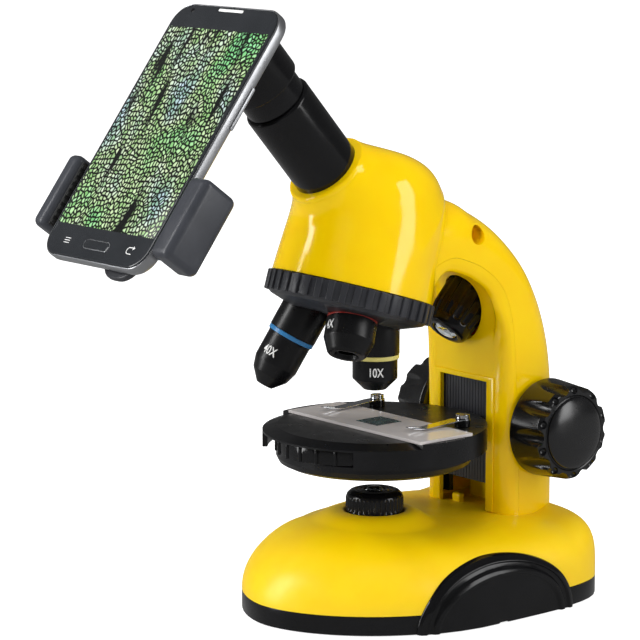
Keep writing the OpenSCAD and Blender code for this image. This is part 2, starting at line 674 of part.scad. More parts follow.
module holder_plate() color(charcoal) difference() {
    union() {
        on_phone() translate([0, 0, guide_z]) linear_extrude(plate_t) {
            translate([0, 2]) slab(19, 50, 8);
            translate([10, -41]) slab(9.6, 13.8, 8);
        }
        difference() {
            on_tube() rod(collar_r, collar_low, 130);
            on_phone() block([-60, -80, guide_z + eps], [60, 90, 80]);
        }
    }
    on_tube() rod(cup_r + run_gap, 60, eyepiece_top + part_gap);
    on_tube() rod(8.5, 60, 140);
}
module holder_guide() color(charcoal) on_phone() difference() {
    union() {
        block([-27, jaw_low + 5, guide_low], [grip_x + pad_t - seam, jaw_high - 6, guide_z]);
        block([30, jaw_low + 5, guide_low], [grip_x + pad_t + 6, jaw_high - 6, guide_low + jaw_foot]);
    }
    for (y = rod_y) rod_x(rod_r + run_gap, -40, 12, y, rod_z);
}
module right_jaw() color(charcoal) on_phone() translate([grip_x + pad_t, 0, 0])
    soft_block([0, jaw_low, guide_low + jaw_foot], [10.6, jaw_high, jaw_front], 3);
module right_pad() color(satin) on_phone()
    block([grip_x, jaw_low + 2, back_z + 1], [grip_x + pad_t, jaw_high - 2, jaw_front - 3]);
module left_jaw() color(charcoal) on_phone() {
    translate([-grip_x - pad_t, 0, 0]) soft_block([-7.4, jaw_low + 3, guide_low], [0, jaw_high + 1.5, jaw_front], 3.2);
    for (y = rod_y) rod_x(rod_r, -grip_x - pad_t - 4, 10, y, rod_z);
}
module left_pad() color(satin) on_phone() {
    block([-grip_x - pad_t, jaw_low + 4.6, back_z + 1], [-grip_x - 0.7, jaw_high - 0.4, jaw_front - 2]);
    for (i = [0:8]) block([-grip_x - 0.7 - eps, jaw_low + 5.2 + i * 2.8, back_z + 1],
        [-grip_x, jaw_low + 6.8 + i * 2.8, jaw_front - 2]);
}

glass_z = -1.2;
module phone_body() color(chrome) on_phone() difference() {
    union() {
        translate([0, 0, -phone_t + 1.4]) linear_extrude(phone_t - 1.7) slab(phone_w / 2, phone_h / 2, 8.6);
        translate([0, 0, -phone_t + 0.5]) linear_extrude(2) slab(phone_w / 2 - 0.5, phone_h / 2 - 0.5, 8.1);
        translate([0, 0, -phone_t]) linear_extrude(2) slab(phone_w / 2 - 1.5, phone_h / 2 - 1.5, 7.1);
        block([phone_w / 2 - 1, 6.2, 0.5 - phone_t], [phone_w / 2 + 0.45, 23.4, 1.9 - phone_t]);
    }
    translate([0, 0, glass_z - seam]) linear_extrude(3) slab(phone_w / 2 - 0.6, phone_h / 2 - 0.6, 8);
}
screen_half = [phone_w / 2 - 2, phone_h / 2 - 11.5];
screen_y = 1.2;
button_y = -phone_h / 2 + 6.4;
module phone_glass() color(black) on_phone() difference() {
    translate([0, 0, glass_z]) linear_extrude(-glass_z) slab(phone_w / 2 - 0.7, phone_h / 2 - 0.7, 7.9);
    translate([0, screen_y, -0.5]) linear_extrude(2) square(2 * screen_half + [seam, seam], center = true);
    translate([0, button_y, -0.5]) linear_extrude(2) slab(7.5 + seam / 2, 1.9 + seam / 2, 1.85);
}
module phone_screen() color([0.3, 0.6, 0.25]) on_phone()
    translate([0, screen_y, -0.5]) linear_extrude(0.48) square(2 * screen_half, center = true);
module phone_button() color(charcoal) on_phone()
    translate([0, button_y, -0.5]) linear_extrude(0.7) slab(7.5, 1.9, 1.8);

// Lamps

module lamp_flutes(r, a, b, k) for (i = [0:k - 1])
    rotate(360 / k * i) translate([r + 0.35, 0, 0]) rod(0.8, a, b);
lamp_back = 24;
stem_end = lamp_back + 5;
module upper_lamp() color(black) on_lamp() difference() {
    union() {
        rotate_extrude() polygon([[0, 0], [6.6, 0], [7.5, 0.6], [7.9, 1.6], [lamp_r, 10], [lamp_r, lamp_back],
            [0, lamp_back]]);
        rod(stem_r, lamp_back - eps, stem_end);
    }
    rod(5, -1, 2.5);
    for (i = [0:15]) rotate(22.5 * i) translate([lamp_r - 0.5, 0, 2.6]) rotate([0, 12, 0]) rod(1.3, 0, 16);
}
module upper_lens() color(clear) on_lamp() rotate_extrude()
    polygon([[0, -0.9], [2.6, -0.6], [4.4, 0.2], [4.95, 1], [4.95, 2.5], [0, 2.5]]);
module lamp_socket() color(black) difference() {
    union() {
        on_lamp() rod(socket_r, lamp_back + part_gap, stem_end + 1.5);
        on_lamp() block([-arm_half + wall + 3.6, -6, 25.5], [arm_half - wall - 3.6, 0, 29.5]);
    }
    on_lamp() rod(stem_r + run_gap, 0, stem_end + part_gap);
}
low_r = 10.9;
low_top = 43.7;
module lower_lamp() color(black) difference() {
    union() {
        rotate_extrude() polygon([[0, post_top + part_gap], [low_r, post_top + part_gap],
            [low_r, low_top - 3], [low_r - 0.5, low_top - 1.5], [low_r - 1.7, low_top - 0.4],
            [low_r - 3, low_top], [0, low_top]]);
        rod(stem_r, post_top - 18, post_top + part_gap + eps);
    }
    rod(3.4, low_top - 2.5, low_top + 1);
    lamp_flutes(low_r, seat_z - 6, low_top - 2.4, 24);
}
module lower_lens() color(clear) rotate_extrude() polygon([[0, low_top - 2.5], [3.35, low_top - 2.5],
    [3.35, low_top], [2.6, low_top + 0.7], [1.4, low_top + 1.1], [0, low_top + 1.2]]);

module arm_screw() color(charcoal) {
    rod_x(2, -arm_half + wall + 3, arm_half - 11, boss_y, boss_z);
    rod_x(screw_r - part_gap, arm_half - 11 - eps, arm_half - 8, boss_y, boss_z);
}

base_plate();
base_shell();
side_arch_right();
side_arch_left();
rubber_feet();
battery_tray();
battery_cells();
battery_door();
arm_shell_right();
arm_shell_left();
front_cover();
slot_frame();
column_rails();
head_housing();
turret_plate();
prism();
arm_screw();
lamp_socket();
eyepiece_tube();
stage_slider();
stage_arm();
stage_top();
stage_under();
clip_posts();
clip_screws();
filter_wheel();
filter_gels();
clip_right();
clip_left();
specimen_slide();
cover_slip();
focus_shaft();
focus_knob_right();
focus_knob_left();
turret_disc();
objective_4x();
objective_10x();
objective_40x();
band_4x();
band_10x();
band_40x();
objective_lenses();
eyepiece_barrel();
eyepiece_lens();
holder_plate();
holder_guide();
right_jaw();
right_pad();
left_jaw();
left_pad();
phone_body();
phone_glass();
phone_screen();
phone_button();
upper_lamp();
upper_lens();
lower_lamp();
lower_lens();
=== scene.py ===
# %% [markdown]
# # A kids microscope with a phone on its eyepiece
# The CAD model already fixes every size, joint and place. This lesson dresses it: glossy yellow
# housings, black plastic, chrome clips, glass and a lit phone. Lengths below are in millimetres,
# as in the CAD source, and they turn into metres only when a mesh is made.

# %% Load the frame
import json
import math

import bmesh
import bpy
import numpy as np
from mathutils import Matrix, Vector


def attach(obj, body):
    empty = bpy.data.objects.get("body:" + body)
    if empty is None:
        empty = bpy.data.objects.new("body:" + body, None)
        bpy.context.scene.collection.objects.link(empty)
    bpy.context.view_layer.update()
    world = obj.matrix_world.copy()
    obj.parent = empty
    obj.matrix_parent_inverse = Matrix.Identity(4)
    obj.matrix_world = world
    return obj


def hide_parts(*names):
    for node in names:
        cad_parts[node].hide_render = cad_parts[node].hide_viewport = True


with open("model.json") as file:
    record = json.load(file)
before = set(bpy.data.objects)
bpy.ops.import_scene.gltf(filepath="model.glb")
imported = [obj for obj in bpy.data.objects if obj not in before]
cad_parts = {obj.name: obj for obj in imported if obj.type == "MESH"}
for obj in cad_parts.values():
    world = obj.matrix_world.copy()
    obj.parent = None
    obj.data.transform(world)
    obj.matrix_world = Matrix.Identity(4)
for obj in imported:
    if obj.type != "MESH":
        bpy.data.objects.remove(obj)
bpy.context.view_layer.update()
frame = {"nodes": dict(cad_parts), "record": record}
nodes = frame["nodes"]
scene = bpy.context.scene
scene.view_settings.view_transform = "Standard"

# %% [markdown]
# ## Camera
# The photograph was taken from the front right, a little above the table, with a long lens. The
# angle was found from points whose place is known in the CAD model, so the camera is set by
# numbers. A long lens far away keeps upright edges nearly parallel, as in a product photograph.

# %% Camera
camera_turn, camera_rise = math.radians(50.660), math.radians(9.7515)
camera_back = Vector((
    math.sin(camera_turn) * math.cos(camera_rise),
    -math.cos(camera_turn) * math.cos(camera_rise),
    math.sin(camera_rise),
))
lens = bpy.data.cameras.new("photo_camera")
lens.lens, lens.sensor_width = 165.33, 36
camera = bpy.data.objects.new("photo_camera", lens)
camera.location = (0.81992, -0.69855, 0.29307)
camera.rotation_mode = "QUATERNION"
camera.rotation_quaternion = (-camera_back).to_track_quat("-Z", "Y")
scene.collection.objects.link(camera)
scene.camera = camera
print("camera looks down by", round(math.degrees(camera_rise), 1), "degrees")

# %% [markdown]
# ## Floor and background
# The object stands on a white table without an edge. The floor is a plain matt white plane that
# also glows a little, but only for the camera (the Light Path node), so the picture's background is
# white while no extra light falls on the object. The shadow stays, because part of the floor's
# white is still lit by the lamps. In mirror-like plastic the floor shows as a dim grey, as a
# studio's dark flags would make it, so that blacks stay black and the yellow stays deep.

# %% Floor
def link(tree, start, end):
    tree.links.new(start, end)


def strength_by_ray(tree, seen, mirrored, other):
    """One strength for camera and transmission rays, one for glossy rays, one for all others."""
    path = tree.nodes.new("ShaderNodeLightPath")
    total = None
    rays = {"Is Camera Ray": seen, "Is Transmission Ray": seen, "Is Glossy Ray": mirrored}
    for ray, strength in rays.items():
        more = tree.nodes.new("ShaderNodeMath")
        more.operation = "MULTIPLY_ADD"
        link(tree, path.outputs[ray], more.inputs[0])
        more.inputs[1].default_value = strength - other
        more.inputs[2].default_value = other
        if total is not None:
            link(tree, total, more.inputs[2])
        total = more.outputs[0]
    return total


FLOOR_SEEN, FLOOR_MIRRORED = 0.8, 0.28
table_white = bpy.data.materials.new("table_white")
table_white.use_nodes = True
tree = table_white.node_tree
body = tree.nodes["Principled BSDF"]
body.inputs["Base Color"].default_value = (0.84, 0.84, 0.84, 1)
body.inputs["Roughness"].default_value = 0.7
body.inputs["Specular IOR Level"].default_value = 0.2
glow = tree.nodes.new("ShaderNodeEmission")
link(tree, strength_by_ray(tree, FLOOR_SEEN, 0.0, 0.0), glow.inputs["Strength"])
both = tree.nodes.new("ShaderNodeAddShader")
link(tree, body.outputs[0], both.inputs[0])
link(tree, glow.outputs[0], both.inputs[1])
dim = tree.nodes.new("ShaderNodeEmission")
dim.inputs["Strength"].default_value = FLOOR_MIRRORED
mirrored = tree.nodes.new("ShaderNodeMixShader")
link(tree, tree.nodes.new("ShaderNodeLightPath").outputs["Is Glossy Ray"], mirrored.inputs[0])
link(tree, both.outputs[0], mirrored.inputs[1])
link(tree, dim.outputs[0], mirrored.inputs[2])
link(tree, mirrored.outputs[0], tree.nodes["Material Output"].inputs["Surface"])

floor_mesh = bpy.data.meshes.new("table")
floor_mesh.from_pydata([(-9, -9, 0), (9, -9, 0), (9, 9, 0), (-9, 9, 0)], [], [(0, 1, 2, 3)])
floor_mesh.materials.append(table_white)
floor = bpy.data.objects.new("table", floor_mesh)
scene.collection.objects.link(floor)
print("floor: 18 m square")

# %% [markdown]
# ## Light
# Studio pictures of glossy toys use large soft boxes: their shapes are what the plastic mirrors.
# A tall box on the right gives the broad pale patch on the head, a narrow one on the left the
# thin streak. Two more, overhead and in front, only fill: they are hidden from mirror-like rays, so
# their shapes never show. The room itself gives an even light.

# %% Lamps and world
ROOM_SEEN, ROOM_MIRRORED, ROOM_LIGHT = 1.0, 0.1, 0.5
room = bpy.data.worlds.new("studio_room")
room.use_nodes = True
scene.world = room
tree = room.node_tree
sky = tree.nodes["Background"]
sky.inputs["Color"].default_value = (1, 1, 1, 1)
link(tree, strength_by_ray(tree, ROOM_SEEN, ROOM_MIRRORED, ROOM_LIGHT), sky.inputs["Strength"])


def soft_box(name, place, aim, width, height, power, mirrored=True):
    data = bpy.data.lights.new(name, "AREA")
    data.shape, data.size, data.size_y, data.energy = "RECTANGLE", width, height, power
    lamp = bpy.data.objects.new(name, data)
    lamp.location = place
    lamp.rotation_mode = "QUATERNION"
    lamp.rotation_quaternion = (Vector(aim) - Vector(place)).to_track_quat("-Z", "Y")
    lamp.visible_glossy = mirrored
    scene.collection.objects.link(lamp)
    return lamp


middle = (0, 0, 0.12)
soft_box("right_box", (0.88, 0.42, 0.5), middle, 0.4, 0.8, 4.0)
soft_box("left_box", (-0.5, -0.85, 0.45), middle, 0.26, 1.0, 6.8)
soft_box("top_box", (0.05, -0.3, 1.15), middle, 0.8, 0.6, 4.6, False)
soft_box("front_box", (0.45, -1.3, 0.75), middle, 0.7, 0.5, 3.7, False)

# %% [markdown]
# ## Finishes
# Moulded plastic is never one flat colour: the pigment is slightly uneven, the gloss changes from
# place to place and the surface has a very fine grain. One helper builds that from three noise
# textures on Object coordinates, so the pattern sits still on a piece that moves. Each finish is
# then a line of numbers: two near colours, a range of roughness, and the size and depth of grain.

# %% The helper for finishes
def rgb(red, green, blue):
    """A colour written as in a paint program, 0 to 255, for Blender's linear sockets."""
    share = [c / 255 for c in (red, green, blue)]
    return [c / 12.92 if c <= 0.04045 else ((c + 0.055) / 1.055) ** 2.4 for c in share] + [1]


def noise(tree, where, size, detail=2.0):
    """A noise texture with features of about this size in millimetres."""
    texture = tree.nodes.new("ShaderNodeTexNoise")
    texture.inputs["Scale"].default_value = 1000 / size
    texture.inputs["Detail"].default_value = detail
    link(tree, where, texture.inputs["Vector"])
    return texture.outputs["Fac"]


def spread(tree, value, low, high, start=0.3, end=0.7):
    """Maps a noise value, which stays between start and end, onto low to high."""
    ramp = tree.nodes.new("ShaderNodeMapRange")
    for name, number in (("From Min", start), ("From Max", end), ("To Min", low), ("To Max", high)):
        ramp.inputs[name].default_value = number
    link(tree, value, ramp.inputs["Value"])
    return ramp.outputs["Result"]


def blend_colours(tree, factor, first, second):
    mix = tree.nodes.new("ShaderNodeMix")
    mix.data_type = "RGBA"
    mix.inputs[6].default_value = first
    mix.inputs[7].default_value = second
    link(tree, factor, mix.inputs[0])
    return mix.outputs[2]


def plastic(name, first, second, rough, grain, patch=14, **extra):
    """A moulded finish from two near colours, a roughness range and a grain (size, depth)."""
    material = bpy.data.materials.new(name)
    material.use_nodes = True
    tree = material.node_tree
    shader = tree.nodes["Principled BSDF"]
    where = tree.nodes.new("ShaderNodeTexCoord").outputs["Object"]
    cloud = noise(tree, where, patch, 3)
    link(tree, blend_colours(tree, spread(tree, cloud, 0, 1), first, second), shader.inputs["Base Color"])
    link(tree, spread(tree, noise(tree, where, patch * 0.4, 3), *rough), shader.inputs["Roughness"])
    bump = tree.nodes.new("ShaderNodeBump")
    bump.inputs["Distance"].default_value = grain[1] * 0.001
    bump.inputs["Strength"].default_value = 0.6
    link(tree, noise(tree, where, grain[0], 2), bump.inputs["Height"])
    link(tree, bump.outputs["Normal"], shader.inputs["Normal"])
    for socket, value in extra.items():
        shader.inputs[socket.replace("_", " ")].default_value = value
    return material


# %% The finishes
# two colours, a range of roughness, the grain's size and depth, and what else differs
WAXY = dict(Subsurface_Weight=0.12, Subsurface_Radius=(1.0, 0.4, 0.02), Subsurface_Scale=0.004)
recipes = {
    "yellow_shell": ((252, 204, 0), (254, 210, 2), (0.08, 0.15), (0.9, 0.002), WAXY),
    "yellow_soft": ((252, 206, 0), (254, 212, 2), (0.32, 0.42), (0.9, 0.002), WAXY),
    "black_gloss": ((11, 11, 12), (16, 16, 18), (0.10, 0.2), (0.8, 0.002), dict(Specular_IOR_Level=0.4)),
    "black_satin": ((14, 14, 15), (20, 20, 22), (0.26, 0.36), (0.28, 0.008), dict(Specular_IOR_Level=0.35)),
    "jaw_grey": ((50, 52, 58), (61, 63, 69), (0.3, 0.4), (0.3, 0.012), {}),
    "knob_gloss": ((11, 11, 12), (16, 16, 18), (0.2, 0.28), (0.8, 0.002), dict(Specular_IOR_Level=0.8)),
    "dark_grey": ((42, 43, 47), (52, 53, 57), (0.3, 0.42), (0.3, 0.01), dict(Specular_IOR_Level=0.4)),
    "black_rubber": ((24, 24, 24), (33, 33, 33), (0.62, 0.8), (0.4, 0.02), {}),
    "chrome": ((196, 198, 202), (214, 215, 218), (0.08, 0.2), (0.6, 0.002), dict(Metallic=1.0)),
    # the dish's faint white emission is a painted glint: it stands in for highlights on the dish
    "reflector": ((226, 228, 232), (244, 245, 248), (0.18, 0.3), (0.6, 0.002),
                  dict(Metallic=0.5, Emission_Color=(1, 1, 1, 1), Emission_Strength=0.35)),
    "steel": ((150, 150, 152), (172, 172, 174), (0.22, 0.36), (0.2, 0.003), dict(Metallic=1.0)),
    "lens_glass": ((236, 244, 246), (246, 250, 252), (0.0, 0.04), (2, 0.001),
                   dict(Transmission_Weight=1.0, IOR=1.5)),
    "slide_glass": ((206, 200, 198), (216, 211, 209), (0.08, 0.16), (2, 0.001),
                    dict(Transmission_Weight=0.2, IOR=1.45)),
    "specimen": ((18, 22, 24), (46, 84, 84), (0.2, 0.35), (0.5, 0.002), dict(patch=4)),
    "red_band": ((142, 40, 34), (160, 52, 44), (0.25, 0.35), (0.4, 0.003), {}),
    "yellow_band": ((214, 202, 112), (228, 216, 130), (0.25, 0.35), (0.4, 0.003), {}),
    "blue_band": ((44, 116, 172), (58, 132, 186), (0.25, 0.35), (0.4, 0.003), {}),
    "blue_gel": ((60, 130, 220), (80, 150, 232), (0.05, 0.12), (1, 0.001),
                 dict(Transmission_Weight=0.85, IOR=1.4)),
    "cell_metal": ((150, 152, 156), (176, 178, 182), (0.25, 0.4), (0.3, 0.003), dict(Metallic=1.0)),
    "phone_metal": ((168, 170, 173), (182, 183, 186), (0.26, 0.36), (0.15, 0.002), dict(Metallic=0.9)),
    "white_print": ((228, 228, 226), (242, 242, 240), (0.35, 0.5), (0.3, 0.002), dict(patch=2)),
    "phone_glass": ((38, 40, 43), (45, 47, 50), (0.05, 0.1), (2, 0.0005), {}),
}
finishes = {}
for name, (first, second, rough, grain, extra) in recipes.items():
    finishes[name] = plastic(name, rgb(*first), rgb(*second), rough, grain, **extra)
print("finishes:", len(finishes))

# %% [markdown]
# ## The phone's picture
# The phone shows what its camera sees through the eyepiece: a plant's skin, with long cells in
# greens and whites between dark walls. It is drawn with a Voronoi texture on the screen's own UV
# map, so that the cells lie along the phone. The picture gives light, as a screen does.

# %% The lit screen
def screen_picture():
    material = bpy.data.materials.new("phone_screen")
    material.use_nodes = True
    tree = material.node_tree
    shader = tree.nodes["Principled BSDF"]
    shader.inputs["Roughness"].default_value = 0.12
    shader.inputs["Specular IOR Level"].default_value = 0.15
    shader.inputs["Emission Strength"].default_value = 1.15
    uv = tree.nodes.new("ShaderNodeUVMap")
    uv.uv_map = "screen"
    sway = tree.nodes.new("ShaderNodeTexNoise")
    sway.inputs["Scale"].default_value = 0.09
    sway.inputs["Detail"].default_value = 2
    link(tree, uv.outputs["UV"], sway.inputs["Vector"])
    bent = tree.nodes.new("ShaderNodeVectorMath")
    bent.operation = "MULTIPLY_ADD"
    bent.inputs[1].default_value = (4, 4, 0)
    link(tree, sway.outputs["Color"], bent.inputs[0])
    link(tree, uv.outputs["UV"], bent.inputs[2])
    lay = tree.nodes.new("ShaderNodeMapping")
    lay.inputs["Rotation"].default_value = (0, 0, math.radians(-6))
    lay.inputs["Scale"].default_value = (0.62, 0.5, 1)
    link(tree, bent.outputs[0], lay.inputs["Vector"])

    def cells(feature):
        voronoi = tree.nodes.new("ShaderNodeTexVoronoi")
        voronoi.voronoi_dimensions = "2D"
        voronoi.feature = feature
        voronoi.inputs["Scale"].default_value = 1.0
        voronoi.inputs["Randomness"].default_value = 0.85
        link(tree, lay.outputs["Vector"], voronoi.inputs["Vector"])
        return voronoi

    def streaks(scale, turn):
        """Soft noise drawn out along one direction of the screen."""
        stretch = tree.nodes.new("ShaderNodeMapping")
        stretch.inputs["Rotation"].default_value = (0, 0, math.radians(turn))
        stretch.inputs["Scale"].default_value = (*scale, 1)
        link(tree, uv.outputs["UV"], stretch.inputs["Vector"])
        texture = tree.nodes.new("ShaderNodeTexNoise")
        texture.noise_dimensions = "2D"
        texture.inputs["Scale"].default_value = 1.0
        texture.inputs["Detail"].default_value = 2
        link(tree, stretch.outputs[0], texture.inputs["Vector"])
        return texture.outputs["Fac"]

    def multiply(first, second):
        mix = tree.nodes.new("ShaderNodeMix")
        mix.data_type = "RGBA"
        mix.blend_type = "MULTIPLY"
        mix.inputs[0].default_value = 1
        link(tree, first, mix.inputs[6])
        link(tree, second, mix.inputs[7])
        return mix.outputs[2]

    tint = tree.nodes.new("ShaderNodeValToRGB")
    stops = ((0.32, (158, 240, 172)), (0.44, (200, 240, 178)), (0.52, (224, 242, 196)),
             (0.6, (228, 246, 226)), (0.7, (204, 230, 244)))
    ramp = tint.color_ramp
    while len(ramp.elements) < len(stops):
        ramp.elements.new(0.5)
    for element, (place, colour) in zip(ramp.elements, stops):
        element.position = place
        element.color = rgb(*colour)
    link(tree, streaks((0.045, 0.03), 20), tint.inputs[0])
    split = tree.nodes.new("ShaderNodeSeparateColor")
    link(tree, cells("F1").outputs["Color"], split.inputs[0])
    tone = blend_colours(tree, split.outputs[0], rgb(176, 204, 166), rgb(255, 255, 255))
    wall = spread(tree, cells("DISTANCE_TO_EDGE").outputs["Distance"], 0, 1, 0.13, 0.29)
    lines = blend_colours(tree, wall, rgb(8, 14, 8), rgb(255, 255, 255))
    shade = blend_colours(tree, spread(tree, streaks((0.22, 0.03), -10), 0, 1, 0.3, 0.42), rgb(14, 20, 14),
                          rgb(255, 255, 255))
    picture = multiply(multiply(tint.outputs[0], tone), multiply(lines, shade))
    link(tree, picture, shader.inputs["Emission Color"])
    shader.inputs["Base Color"].default_value = (0.01, 0.01, 0.01, 1)
    return material


finishes["phone_screen"] = screen_picture()
print("screen picture ready")

# %% [markdown]
# ## Helpers for meshes
# Most pieces here are one of three kinds: turned on a lathe (a profile spun round an axis), stacked
# (rounded rectangles laid one on another), or a skin (a grid of points with a wall's thickness).
# One short function makes each kind. Corners of a profile are eased first, because no moulded edge
# is knife sharp, and it is the eased edge that catches the light.

# %% Making and keeping pieces
MM = 0.001
CREASE = 35


def add_object(name, mesh):
    made = bpy.data.objects.new(name, mesh)
    scene.collection.objects.link(made)
    return made


def outward(obj):
    """Merges doubled points and turns every face of a closed mesh outwards."""
    work = bmesh.new()
    work.from_mesh(obj.data)
    bmesh.ops.remove_doubles(work, verts=work.verts, dist=1e-7)
    bmesh.ops.recalc_face_normals(work, faces=work.faces)
    work.to_mesh(obj.data)
    work.free()


def smooth(obj, angle=CREASE):
    obj.data.shade_smooth()
    obj.data.set_sharp_from_angle(angle=math.radians(angle))


def from_points(name, points, faces, finish, place=None, angle=CREASE):
    mesh = bpy.data.meshes.new(name)
    mesh.from_pydata((np.asarray(points, float) * MM).tolist(), [], [[int(i) for i in f] for f in faces])
    mesh.materials.append(finishes[finish])
    made = add_object(name, mesh)
    outward(made)
    if place is not None:
        mesh.transform(place)
    smooth(made, angle)
    return made


def settle(obj):
    """Turns what the modifiers make into the object's own plain mesh."""
    graph = bpy.context.evaluated_depsgraph_get()
    mesh = bpy.data.meshes.new_from_object(obj.evaluated_get(graph), depsgraph=graph)
    obj.modifiers.clear()
    obj.data = mesh
    mesh.name = obj.name


def cut(obj, *tools):
    for tool in tools:
        boolean = obj.modifiers.new("cut", "BOOLEAN")
        boolean.operation, boolean.solver, boolean.object = "DIFFERENCE", "EXACT", tool
    settle(obj)
    for tool in tools:
        bpy.data.objects.remove(tool)


def keep(piece, body, slot, *stands_for):
    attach(piece, body)
    if stands_for:
        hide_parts(*stands_for)
    print(f"{piece.name}: {len(piece.data.polygons)} faces, on {body}")
    return piece


# %% Turned, stacked and skinned pieces
def eased(line, radius):
    """A closed profile with its corners rounded by about this radius."""
    line = [np.array(p, float) for p in line]
    out = []
    for i, p in enumerate(line):
        back, on = line[i - 1] - p, line[(i + 1) % len(line)] - p
        far_back, far_on = np.hypot(*back), np.hypot(*on)
        if p[0] < 1e-6 or back @ on < -0.985 * far_back * far_on:
            out.append(p)
            continue
        reach = min(radius, 0.45 * far_back, 0.45 * far_on)
        start, end = p + back / far_back * reach, p + on / far_on * reach
        for s in (0, 0.25, 0.5, 0.75, 1):
            out.append((1 - s) ** 2 * start + 2 * s * (1 - s) * p + s * s * end)
    return out


def turned(name, profile, finish, place=None, steps=128, angle=CREASE, limit=None):
    """A closed profile of (radius, height) spun round Z, kept inside limit(angles, height)."""
    round_ = np.linspace(0, 2 * math.pi, steps, endpoint=False)
    points, rows = [], []
    for r, z in profile:
        start = len(points)
        if r < 1e-6:
            points.append((0, 0, z))
            rows.append([start] * steps)
        else:
            radii = np.full(steps, r) if limit is None else np.minimum(r, limit(round_, z))
            points += [(q * math.cos(a), q * math.sin(a), z) for q, a in zip(radii, round_)]
            rows.append(list(range(start, start + steps)))
    faces = []
    for low, high in zip(rows, rows[1:] + rows[:1]):
        for j in range(steps):
            k = (j + 1) % steps
            face = list(dict.fromkeys((low[j], low[k], high[k], high[j])))
            if len(face) > 2:
                faces.append(face)
    return from_points(name, points, faces, finish, place, angle)


def rounded_loop(x, y, corners, steps=8):
    """Corners of a rounded rectangle, with four radii from the +x +y corner on."""
    out = []
    for r, sx, sy, start in zip(corners, (1, -1, -1, 1), (1, 1, -1, -1), (0, 90, 180, 270)):
        r = min(r, x, y)
        for i in range(steps + 1):
            a = math.radians(start + 90 * i / steps)
            out.append((sx * (x - r) + r * math.cos(a), sy * (y - r) + r * math.sin(a)))
    return out


def layered(name, loops, finish, place=None, angle=CREASE):
    """A closed solid from loops of equally many points, each [(x, y, z), ...]."""
    n = len(loops[0])
    points = [p for loop in loops for p in loop]
    faces = [list(range(n))[::-1], [len(points) - n + i for i in range(n)]]
    for i in range(len(loops) - 1):
        for j in range(n):
            k = (j + 1) % n
            faces.append((i * n + j, i * n + k, i * n + n + k, i * n + n + j))
    return from_points(name, points, faces, finish, place, angle)


def stacked(name, x, y, corner, layers, finish, place=None, angle=CREASE):
    """Rounded rectangles of half sizes x, y, drawn in by an inset at each height."""
    corners = corner if isinstance(corner, tuple) else (corner,) * 4
    loops = []
    for inset, z in layers:
        loop = rounded_loop(x - inset, y - inset, [max(0.05, c - inset) for c in corners])
        loops.append([(px, py, z) for px, py in loop])
    return layered(name, loops, finish, place, angle)


def pillow(low, high, edge, steps=4):
    """Layers (inset, height) of a block whose top and bottom edges are rounded."""
    turn = [math.radians(90 * i / steps) for i in range(steps + 1)]
    under = [(edge * (1 - math.sin(a)), low + edge * (1 - math.cos(a))) for a in turn]
    return under + [(inset, low + high - z) for inset, z in reversed(under)]


def skin(name, front, back, finish, joined=False, angle=CREASE):
    """A wall between two grids of points, its rows open or joined round."""
    front, back = np.asarray(front, float), np.asarray(back, float)
    m, n = front.shape[:2]
    b = m * n
    cols = n if joined else n - 1
    faces = []
    for j in range(cols):
        k = (j + 1) % n
        for i in range(m - 1):
            p, q = i * n, i * n + n
            faces.append((p + j, p + k, q + k, q + j))
            faces.append((b + p + j, b + q + j, b + q + k, b + p + k))
        e = (m - 1) * n
        faces.append((j, b + j, b + k, k))
        faces.append((e + j, e + k, b + e + k, b + e + j))
    if not joined:
        for i in range(m - 1):
            p, q = i * n, i * n + n
            faces.append((p, q, b + q, b + p))
            faces.append((p + n - 1, b + p + n - 1, b + q + n - 1, q + n - 1))
    points = np.concatenate([front.reshape(-1, 3), back.reshape(-1, 3)])
    return from_points(name, points, faces, finish, None, angle)


def softened(node, name, finish, edge, segments=2, angle=40, crease=CREASE):
    """A copy of a CAD node, its triangles merged into faces and its edges eased."""
    mesh = nodes[node].data.copy()
    mesh.materials.clear()
    mesh.materials.append(finishes[finish])
    made = add_object(name, mesh)
    work = bmesh.new()
    work.from_mesh(mesh)
    bmesh.ops.remove_doubles(work, verts=work.verts, dist=2e-6)
    bmesh.ops.dissolve_limit(work, angle_limit=math.radians(0.6), verts=work.verts, edges=work.edges)
    work.to_mesh(mesh)
    work.free()
    bevel = made.modifiers.new("edges", "BEVEL")
    bevel.width, bevel.segments = edge * MM, segments
    bevel.limit_method, bevel.angle_limit = "ANGLE", math.radians(angle)
    settle(made)
    smooth(made, crease)
    return made


def turn_x(degrees):
    return Matrix.Rotation(math.radians(degrees), 4, "X")


def turn_y(degrees):
    return Matrix.Rotation(math.radians(degrees), 4, "Y")


def turn_z(degrees):
    return Matrix.Rotation(math.radians(degrees), 4, "Z")


def at(x, y, z):
    return Matrix.Translation(Vector((x, y, z)) * MM)


# frames of the parts that lean, as in the CAD source
on_turret = at(0, 0, 158.8) @ turn_x(-17)
on_tube = at(0, 0, 139.5) @ turn_x(41.5)
on_phone = at(0, -97.9, 184.8) @ turn_x(53.3)
on_lamp = at(0, 34.8, 99.7) @ turn_x(-42)


def on_objective(k):
    return on_turret @ turn_z(120 * k) @ turn_x(197)


print("helpers ready")

# %% [markdown]
# ## Rings and rows of ribs
# Grips are the same small rib repeated round a ring or along a line. A Geometry Nodes tree does
# that best: the object holds one rib, and the tree puts copies on the points of a circle or a
# line. The copies are made real at the end, because an exported model has no instances.

